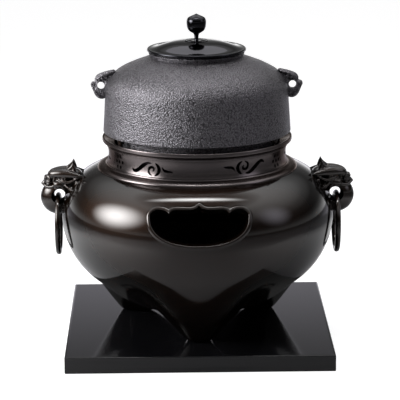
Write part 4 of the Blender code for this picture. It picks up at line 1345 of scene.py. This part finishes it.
def kettle_lug_clay():
    """A small beast head with a hole through its jaw, facing +X, in millimetres from the hole."""
    clay = []
    ball(clay, (-0.8, 0, -2.6), (9.6, 4.4, 12.6))
    ball(clay, (-7, 0, -1), (6, 4.6, 13))
    ball(clay, (-10.5, 0, 8.0), (5, 4.2, 7))
    stroke(clay, [
        (-14, 0, 15.2, 2.4), (-8, 0, 13.4, 3.0), (-2, 0, 11.6, 3.0), (2.4, 0, 9.6, 2.8), (4.6, 0, 7.2, 2.2),
    ])
    ball(clay, (8.0, 0, 0.8), (3.2, 3.4, 3.8))
    for side in (-1, 1):
        # Brow, three beads under it, nostril and lip
        stroke(clay, [
            (-13, 2.8, 14.6, 1.4), (-7, 4.2, 13.0, 1.8), (-1, 4.6, 10.6, 1.9), (4.2, 3.6, 7.4, 1.5),
        ], side)
        ball(clay, (1.6, side * 4.4, 7.0), (1.7, 1.3, 1.5))
        ball(clay, (-2.2, side * 4.8, 7.9), (1.7, 1.3, 1.5))
        ball(clay, (-6.0, side * 4.8, 9.2), (1.8, 1.3, 1.6))
        ball(clay, (9.2, side * 2.2, 2.4), (1.4, 1.3, 1.4))
        stroke(clay, [(9.2, 1.6, -1.4, 1.1), (6.2, 3.4, -7.2, 1.2), (1.5, 3.8, -11.6, 1.1)], side)
    return clay


def build_kettle_lugs(settings):
    """Two small mask lugs on the kettle's shoulder."""
    kettle = settings.kettle
    seat = [(0, kettle.side + kettle.shoulder - MM)] + kettle_shoulder(kettle, -LUG_SINK, 30)
    seat += [(KETTLE_HIGH.x - LUG_SINK, 0), (0, 0)]
    lift = Matrix.Translation((0, 0, kettle_seat(kettle)))
    out = KETTLE_HIGH.x - kettle.taper + kettle.lug_out
    model = sculpt(kettle_lug_clay(), kettle.lug_grain)
    for side, azimuth in SIDES.items():
        place = lift @ Matrix.Rotation(azimuth, 4, "Z") @ Matrix.Translation((out, 0, kettle.lug_up))
        lug = cast_of(model, f"{side}_shoulder_lug", place)
        inside = turned(seat, LUG_WALL_COLUMNS)
        bmesh.ops.transform(inside, matrix=lift, verts=inside.verts)
        carve(lug, solid("inside", inside), ring_way(kettle.lug_hole, LUG_HOLE_CURVE, LUG_HOLE_HALF, place))
        adopt(lug, "iron", "kettle", f"{side}_kettle_lug")
    bpy.data.objects.remove(model, do_unlink=True)


# Lid

LID_COLUMNS = 192
KNOB_COLUMNS = 96
WASHER_COLUMNS = 64
# How far the lid's top and the saucer's rim lie below those of the solids
LID_DIP = 1.5 * MM
SAUCER_DIP = LID_DIP + 1.4 * MM
KNOB_HOLE = 2.4 * MM
KNOB_SHANK = 2.1 * MM
PLUG_RADIUS = 47.4 * MM
PLUG_WALL = 3.5 * MM
# The dome from its middle outwards, in shares of the lid's radius and of its fall to the rim
DOME = (
    (0.12, 0.0), (0.25, 0.01), (0.38, 0.08), (0.50, 0.20), (0.60, 0.36),
    (0.69, 0.54), (0.77, 0.72), (0.84, 0.87), (0.90, 0.96), (0.955, 1.0),
)
# The bud from its tip down to its stem, in shares of the knob's radius and in millimetres
BUD = (
    (0.0, 0.0), (0.11, 0.5), (0.26, 1.3), (0.48, 2.3), (0.78, 3.8), (0.93, 5.4), (0.99, 7.4),
    (1.0, 9.8), (0.985, 12.4), (0.95, 14.8), (0.88, 16.8), (0.78, 18.4), (0.62, 19.8), (0.44, 20.9),
    (0.31, 21.9), (0.25, 23.2), (0.22, 25.2), (0.21, 27.8), (0.24, 29.6), (0.30, 30.6),
)


def lid_outline():
    """The lid's section: dome, trough, rolled rim and the plug that enters the mouth."""
    radius = LID_HIGH.x
    seat = KETTLE_HIGH.z + 0.3 * MM
    top = LID_HIGH.z - LID_DIP
    rim_top = seat + 4.2 * MM
    fall = top - rim_top
    outline = [(KNOB_HOLE, top)]
    outline += smooth_path([(radius * r, top - fall * z) for r, z in DOME], 5)
    outline += arc((radius - 1.6 * MM, rim_top - 1.3 * MM), 1.6 * MM, 80, -70, 12)
    return outline + rounded([
        (radius - 2.4 * MM, seat),
        (PLUG_RADIUS, seat),
        (PLUG_RADIUS, LID_LOW.z),
        (PLUG_RADIUS - PLUG_WALL, LID_LOW.z),
        (PLUG_RADIUS - PLUG_WALL, seat + 1.5 * MM),
        (PLUG_RADIUS - 8 * MM, seat + 3.2 * MM),
        (20 * MM, top - 4.2 * MM),
        (KNOB_HOLE, top - 3 * MM),
    ], 0.7 * MM)


def knob_outline():
    """The bud on its stem, and the shank that is peened inside the lid."""
    tip = KNOB_HIGH.z
    low = KNOB_LOW.z
    outline = smooth_path([(KNOB_HIGH.x * r, tip - drop * MM) for r, drop in BUD], 5)
    outline[0] = (0, tip)
    outline += [
        (KNOB_SHANK, SEAT_HIGH.z - SAUCER_DIP + 0.2 * MM),
        (KNOB_SHANK, low + 1.8 * MM),
        (4.2 * MM, low + 1.7 * MM),
    ]
    return outline + arc((2.6 * MM, low + 1.5 * MM), 1.5 * MM, 0, -90, 6) + [(0, low)]


def saucer_outline():
    """The thin saucer under the knob, with an upturned rim."""
    radius = SEAT_HIGH.x
    low, high = SEAT_LOW.z - LID_DIP, SEAT_HIGH.z - SAUCER_DIP
    return rounded([
        (KNOB_HOLE, high - 0.2 * MM),
        (0.55 * radius, low + 0.9 * MM),
        (0.86 * radius, high - 0.3 * MM),
        (radius - 0.8 * MM, high),
        (radius, high - 0.6 * MM),
        (0.90 * radius, low),
        (KNOB_HOLE, low),
    ], 1.2 * MM)


def washer_outline():
    """The washer inside the lid, its edges eased."""
    return rounded([
        (KNOB_HOLE, WASHER_LOW.z),
        (KNOB_HOLE, WASHER_HIGH.z),
        (WASHER_HIGH.x, WASHER_HIGH.z),
        (WASHER_HIGH.x, WASHER_LOW.z),
        (2.6 * MM, WASHER_LOW.z),
    ], 0.4 * MM)


def build_lid():
    """The lid with its saucer, knob and washer."""
    dome = turned(lid_outline(), LID_COLUMNS, is_loop=True)
    saucer = turned(saucer_outline(), KNOB_COLUMNS, is_loop=True)
    knob = turned(knob_outline(), KNOB_COLUMNS)
    washer = turned(washer_outline(), WASHER_COLUMNS, is_loop=True)
    piece("lid_dome", dome, "black", "lid", "kettle_lid", sharp=35)
    piece("knob_saucer", saucer, "black", "lid", "knob_seat", sharp=35)
    piece("knob", knob, "black", "lid", "lid_knob", sharp=35)
    piece("washer", washer, "black", "lid", "knob_washer", sharp=35)


# Stage

LIGHT_AIM = (0, 0, 0.17)
WHITE = (1.0, 1.0, 1.0)
COOL = (0.96, 0.93, 1.06)
FLOOR_GAP = 0.2 * MM
# What the room gives to surfaces, and its brightness in reflections by height, dimmed by a factor
ROOM_LIGHT = 0.08
ROOM_SHADE = 0.9458
ROOM_BY_HEIGHT = (
    (0.0, 1.0),
    (0.05, 0.8),
    (0.12, 0.3),
    (0.20, 0.1),
    (0.36, 0.10),
    (0.5, 0.4),
    (0.7, 1.3),
    (0.84, 1.9),
    (0.96, 0.2),
)
# Passages of the room's brightness: where along an axis each starts and ends, and its level at both
ROOM_REAR = (-0.9, 0.3, 0.4, 1.0)
ROOM_LEFT = (-0.3, -0.9, 0.25, 0.75)
ROOM_BEHIND = (0.3, 0.95, 0.4, 1.5)
ROOM_RISE = (0.2, 0.4, 0.0, 1.0)
# Passages of the floor's painted glow in reflections, by distance in metres and by direction, written in the
# same way
FLOOR_AWAY = (0.12, 0.5, 0.0, 1.0)
FLOOR_NEAR = (0.70, 0.44, 0.0, 1.0)
FLOOR_LEFT = (-0.25, -0.95, 0.0, 0.9)
FLOOR_RIGHT = (0.25, 0.95, 0.0, 0.5)
FLOOR_BEHIND = (0.2, 0.8, 0.0, 0.6)
FLOOR_LIFT = 0.91


def build_camera(stage):
    """The camera at the height and distance of a long studio lens."""
    a, e = stage.azimuth, stage.elevation
    back = Vector((math.sin(a) * math.cos(e), -math.cos(a) * math.cos(e), math.sin(e)))
    right = (-back).cross(Vector((0, 0, 1))).normalized()
    up = right.cross(-back)
    c, s = math.cos(stage.roll), math.sin(stage.roll)
    right, up = right * c + up * s, up * c - right * s
    data = bpy.data.cameras.new("studio camera")
    data.lens = stage.lens
    data.shift_x = stage.shift_x
    data.shift_y = stage.shift_y
    camera = put("studio camera", data)
    camera.matrix_world = Matrix((
        (right.x, up.x, back.x, back.x * stage.distance),
        (right.y, up.y, back.y, back.y * stage.distance),
        (right.z, up.z, back.z, back.z * stage.distance + stage.target),
        (0, 0, 0, 1),
    ))
    bpy.context.scene.camera = camera


def fade(tree, value, start, end, low, high):
    """A soft passage from low to high while a value goes from start to end."""
    return ranged(tree, value, start, end, low, high, "SMOOTHSTEP")


def soft_light(name, direction, distance, size, glow, is_even=False, tint=WHITE):
    """A cloth-fronted lamp that faces the vessel, brightest in its middle unless it is even.

    The camera does not see it.
    """
    data = bpy.data.lights.new(name, "AREA")
    data.shape = "RECTANGLE"
    data.size, data.size_y = size
    data.color = tint
    data.energy = glow * math.pi * size[0] * size[1]
    if not is_even:
        data.use_nodes = True
        tree = data.node_tree
        place = add(tree, "ShaderNodeNewGeometry").outputs["Parametric"]
        inwards = add(tree, "ShaderNodeVectorMath", {"operation": "SUBTRACT", 1: (0.5, 0.5, 0)}, {0: place})
        far = add(tree, "ShaderNodeVectorMath", {"operation": "LENGTH"}, {0: inwards.outputs["Vector"]})
        feed(tree, tree.nodes["Emission"], {"Strength": fade(tree, far.outputs["Value"], 0, 0.5, 1, 0)})
    lamp = put(name, data)
    way = Vector(direction).normalized()
    lamp.location = Vector(LIGHT_AIM) + way * distance
    lamp.rotation_euler = (-way).to_track_quat("-Z", "Y").to_euler()
    lamp.visible_camera = False


def build_world():
    """White to the eye. In reflections it is white by the floor, dark above and bright high up."""
    world = bpy.data.worlds.new("studio")
    world.use_nodes = True
    tree = world.node_tree
    tree.nodes.clear()
    path = add(tree, "ShaderNodeLightPath").outputs
    place = add(tree, "ShaderNodeTexCoord").outputs
    way = add(tree, "ShaderNodeSeparateXYZ", links={0: place["Generated"]}).outputs
    ramp = add(tree, "ShaderNodeValToRGB", links={0: way["Z"]})
    stops = ramp.color_ramp.elements
    while len(stops) < len(ROOM_BY_HEIGHT):
        stops.new(1.0)
    for stop, (height, level) in zip(stops, ROOM_BY_HEIGHT):
        shade = level * ROOM_SHADE
        stop.position = height
        stop.color = (shade, shade, shade, 1)
    low_side = combine(tree, "MAXIMUM", fade(tree, way["X"], *ROOM_LEFT), fade(tree, way["Y"], *ROOM_BEHIND))
    side = add(tree, "ShaderNodeMix", {"data_type": "FLOAT"}, {
        "Factor": fade(tree, way["Z"], *ROOM_RISE),
        "A": low_side,
        "B": fade(tree, way["Y"], *ROOM_REAR),
    })
    mirrored = combine(tree, "MULTIPLY", ramp.outputs["Color"], side.outputs["Result"])
    lit = add(tree, "ShaderNodeMix", {"data_type": "FLOAT", "A": ROOM_LIGHT}, {
        "Factor": path["Is Glossy Ray"],
        "B": mirrored,
    })
    clear = combine(tree, "MAXIMUM", path["Is Camera Ray"], path["Is Transmission Ray"])
    strength = add(tree, "ShaderNodeMix", {"data_type": "FLOAT", "B": 1.0}, {
        "Factor": clear,
        "A": lit.outputs["Result"],
    })
    light = add(tree, "ShaderNodeBackground", {"Color": (*WHITE, 1)})
    feed(tree, light, {"Strength": strength.outputs["Result"]})
    add(tree, "ShaderNodeOutputWorld", links={"Surface": light.outputs["Background"]})
    bpy.context.scene.world = world


def pale_floor(finishes):
    """Matt white paper, lifted to white to the eye. In reflections only, a band around the board glows,
    brightest to the left: painted light on the floor that only reflections show.
    """
    material, tree, shader, where = blank("white paper floor")
    shader.inputs["Base Color"].default_value = (*finishes.floor, 1)
    shader.inputs["Roughness"].default_value = 0.9
    shader.inputs["Emission Color"].default_value = (*WHITE, 1)
    path = add(tree, "ShaderNodeLightPath").outputs
    far = add(tree, "ShaderNodeVectorMath", {"operation": "LENGTH"}, {0: where}).outputs["Value"]
    way = add(tree, "ShaderNodeVectorMath", {"operation": "NORMALIZE"}, {0: where})
    axes = add(tree, "ShaderNodeSeparateXYZ", links={0: way.outputs["Vector"]}).outputs
    # Painted light: seen only in reflections, the floor glows in a band around the board, more to the left,
    # less to the right and behind
    sheet = combine(tree, "MULTIPLY", fade(tree, far, *FLOOR_AWAY), fade(tree, far, *FLOOR_NEAR))
    sides = combine(tree, "ADD", fade(tree, axes["X"], *FLOOR_LEFT), fade(tree, axes["X"], *FLOOR_RIGHT))
    around = combine(tree, "MAXIMUM", sides, fade(tree, axes["Y"], *FLOOR_BEHIND))
    bright = combine(tree, "MULTIPLY", around, sheet)
    mirrored = combine(tree, "MULTIPLY", bright, path["Is Glossy Ray"])
    seen = add(tree, "ShaderNodeMath", {"operation": "MULTIPLY", 1: FLOOR_LIFT}, {0: path["Is Camera Ray"]})
    feed(tree, shader, {"Emission Strength": combine(tree, "MAXIMUM", seen.outputs["Value"], mirrored)})
    return material


def build_stage(settings):
    """Floor, lights, world and camera."""
    stage = settings.stage
    bm = bmesh.new()
    bmesh.ops.create_grid(bm, x_segments=1, y_segments=1, size=stage.floor_size / 2)
    floor = solid("floor", bm)
    floor.location.z = BOARD_LOW.z - FLOOR_GAP
    floor.data.materials.append(pale_floor(settings.finishes))
    soft_light("key", (-0.775, -0.24, 0.345), distance=0.888, size=(0.95, 0.8), glow=23)
    soft_light("top", (-0.02, 0.0, 1.0), distance=1.7, size=(0.40, 1.9), glow=22)
    soft_light("fill", (0.848, -0.302, 0.431), distance=1.5, size=(1.0, 1.2), glow=1.6, tint=COOL)
    soft_light(
        "back", (0.0, 0.866, 0.945), distance=1.28, size=(0.58, 0.46), glow=0.56, is_even=True, tint=COOL
    )
    soft_light("low", (0.0, 1.0, -0.2), distance=0.78, size=(3.2, 0.8), glow=0.72, tint=COOL)
    build_world()
    build_camera(stage)
    bpy.context.scene.view_settings.view_transform = "Standard"


# Operators

class BRAZIER_OT_materials(Operator):
    """Makes the finishes of bronze, iron, lacquer, clay, ash and charcoal."""

    bl_idname = "brazier.materials"
    bl_label = "Make finishes"

    def execute(self, context):
        make_materials(context.scene.tea_brazier.finishes)
        return {"FINISHED"}


class BRAZIER_OT_board(Operator):
    """Models the lacquered board."""

    bl_idname = "brazier.board"
    bl_label = "Make board"

    def execute(self, context):
        build_board()
        return {"FINISHED"}


class BRAZIER_OT_vessel(Operator):
    """Models the bowl with its feet, its fire window and the window's lip."""

    bl_idname = "brazier.vessel"
    bl_label = "Make vessel"

    def execute(self, context):
        build_vessel(context.scene.tea_brazier)
        return {"FINISHED"}


class BRAZIER_OT_collar(Operator):
    """Models the pierced collar."""

    bl_idname = "brazier.collar"
    bl_label = "Make collar"

    def execute(self, context):
        build_collar(context.scene.tea_brazier)
        return {"FINISHED"}


class BRAZIER_OT_fastenings(Operator):
    """Models the rest pins and rivets."""

    bl_idname = "brazier.fastenings"
    bl_label = "Make fastenings"

    def execute(self, context):
        build_rivets(context.scene.tea_brazier)
        build_pins()
        return {"FINISHED"}


class BRAZIER_OT_masks(Operator):
    """Carves the two beast-mask lugs."""

    bl_idname = "brazier.masks"
    bl_label = "Make mask lugs"

    def execute(self, context):
        build_masks(context.scene.tea_brazier)
        return {"FINISHED"}


class BRAZIER_OT_rings(Operator):
    """Models the two hanging rings."""

    bl_idname = "brazier.rings"
    bl_label = "Make rings"

    def execute(self, context):
        build_rings()
        return {"FINISHED"}


class BRAZIER_OT_fire(Operator):
    """Models the tile, the ash and the charcoal."""

    bl_idname = "brazier.fire"
    bl_label = "Make fire"

    def execute(self, context):
        build_fire()
        return {"FINISHED"}


class BRAZIER_OT_kettle(Operator):
    """Models the iron kettle and its lugs."""

    bl_idname = "brazier.kettle"
    bl_label = "Make kettle"

    def execute(self, context):
        build_kettle(context.scene.tea_brazier)
        build_kettle_lugs(context.scene.tea_brazier)
        return {"FINISHED"}


class BRAZIER_OT_lid(Operator):
    """Models the lid and its knob."""

    bl_idname = "brazier.lid"
    bl_label = "Make lid"

    def execute(self, context):
        build_lid()
        return {"FINISHED"}


class BRAZIER_OT_stage(Operator):
    """Sets up the floor, the lights and the camera."""

    bl_idname = "brazier.stage"
    bl_label = "Make stage"

    def execute(self, context):
        build_stage(context.scene.tea_brazier)
        return {"FINISHED"}


STEPS = (
    "materials",
    "board",
    "vessel",
    "collar",
    "fastenings",
    "masks",
    "rings",
    "fire",
    "kettle",
    "lid",
    "stage",
)


class BRAZIER_PT_sidebar(Panel):
    """Lists the steps that model the brazier."""

    bl_idname = "BRAZIER_PT_sidebar"
    bl_label = "Tea brazier"
    bl_space_type = "VIEW_3D"
    bl_region_type = "UI"
    bl_category = "Brazier"

    def draw(self, context):
        for step in STEPS:
            self.layout.operator("brazier." + step)


CLASSES = (
    BrazierFinishes,
    BrazierVessel,
    BrazierCollar,
    BrazierMask,
    BrazierKettle,
    BrazierStage,
    BrazierSettings,
    BRAZIER_OT_materials,
    BRAZIER_OT_board,
    BRAZIER_OT_vessel,
    BRAZIER_OT_collar,
    BRAZIER_OT_fastenings,
    BRAZIER_OT_masks,
    BRAZIER_OT_rings,
    BRAZIER_OT_fire,
    BRAZIER_OT_kettle,
    BRAZIER_OT_lid,
    BRAZIER_OT_stage,
    BRAZIER_PT_sidebar,
)


def register():
    for cls in CLASSES:
        bpy.utils.register_class(cls)
    bpy.types.Scene.tea_brazier = PointerProperty(type=BrazierSettings)


def unregister():
    del bpy.types.Scene.tea_brazier
    for cls in reversed(CLASSES):
        bpy.utils.unregister_class(cls)


def main():
    register()
    for step in STEPS:
        getattr(bpy.ops.brazier, step)()


if __name__ == "__main__":
    main()
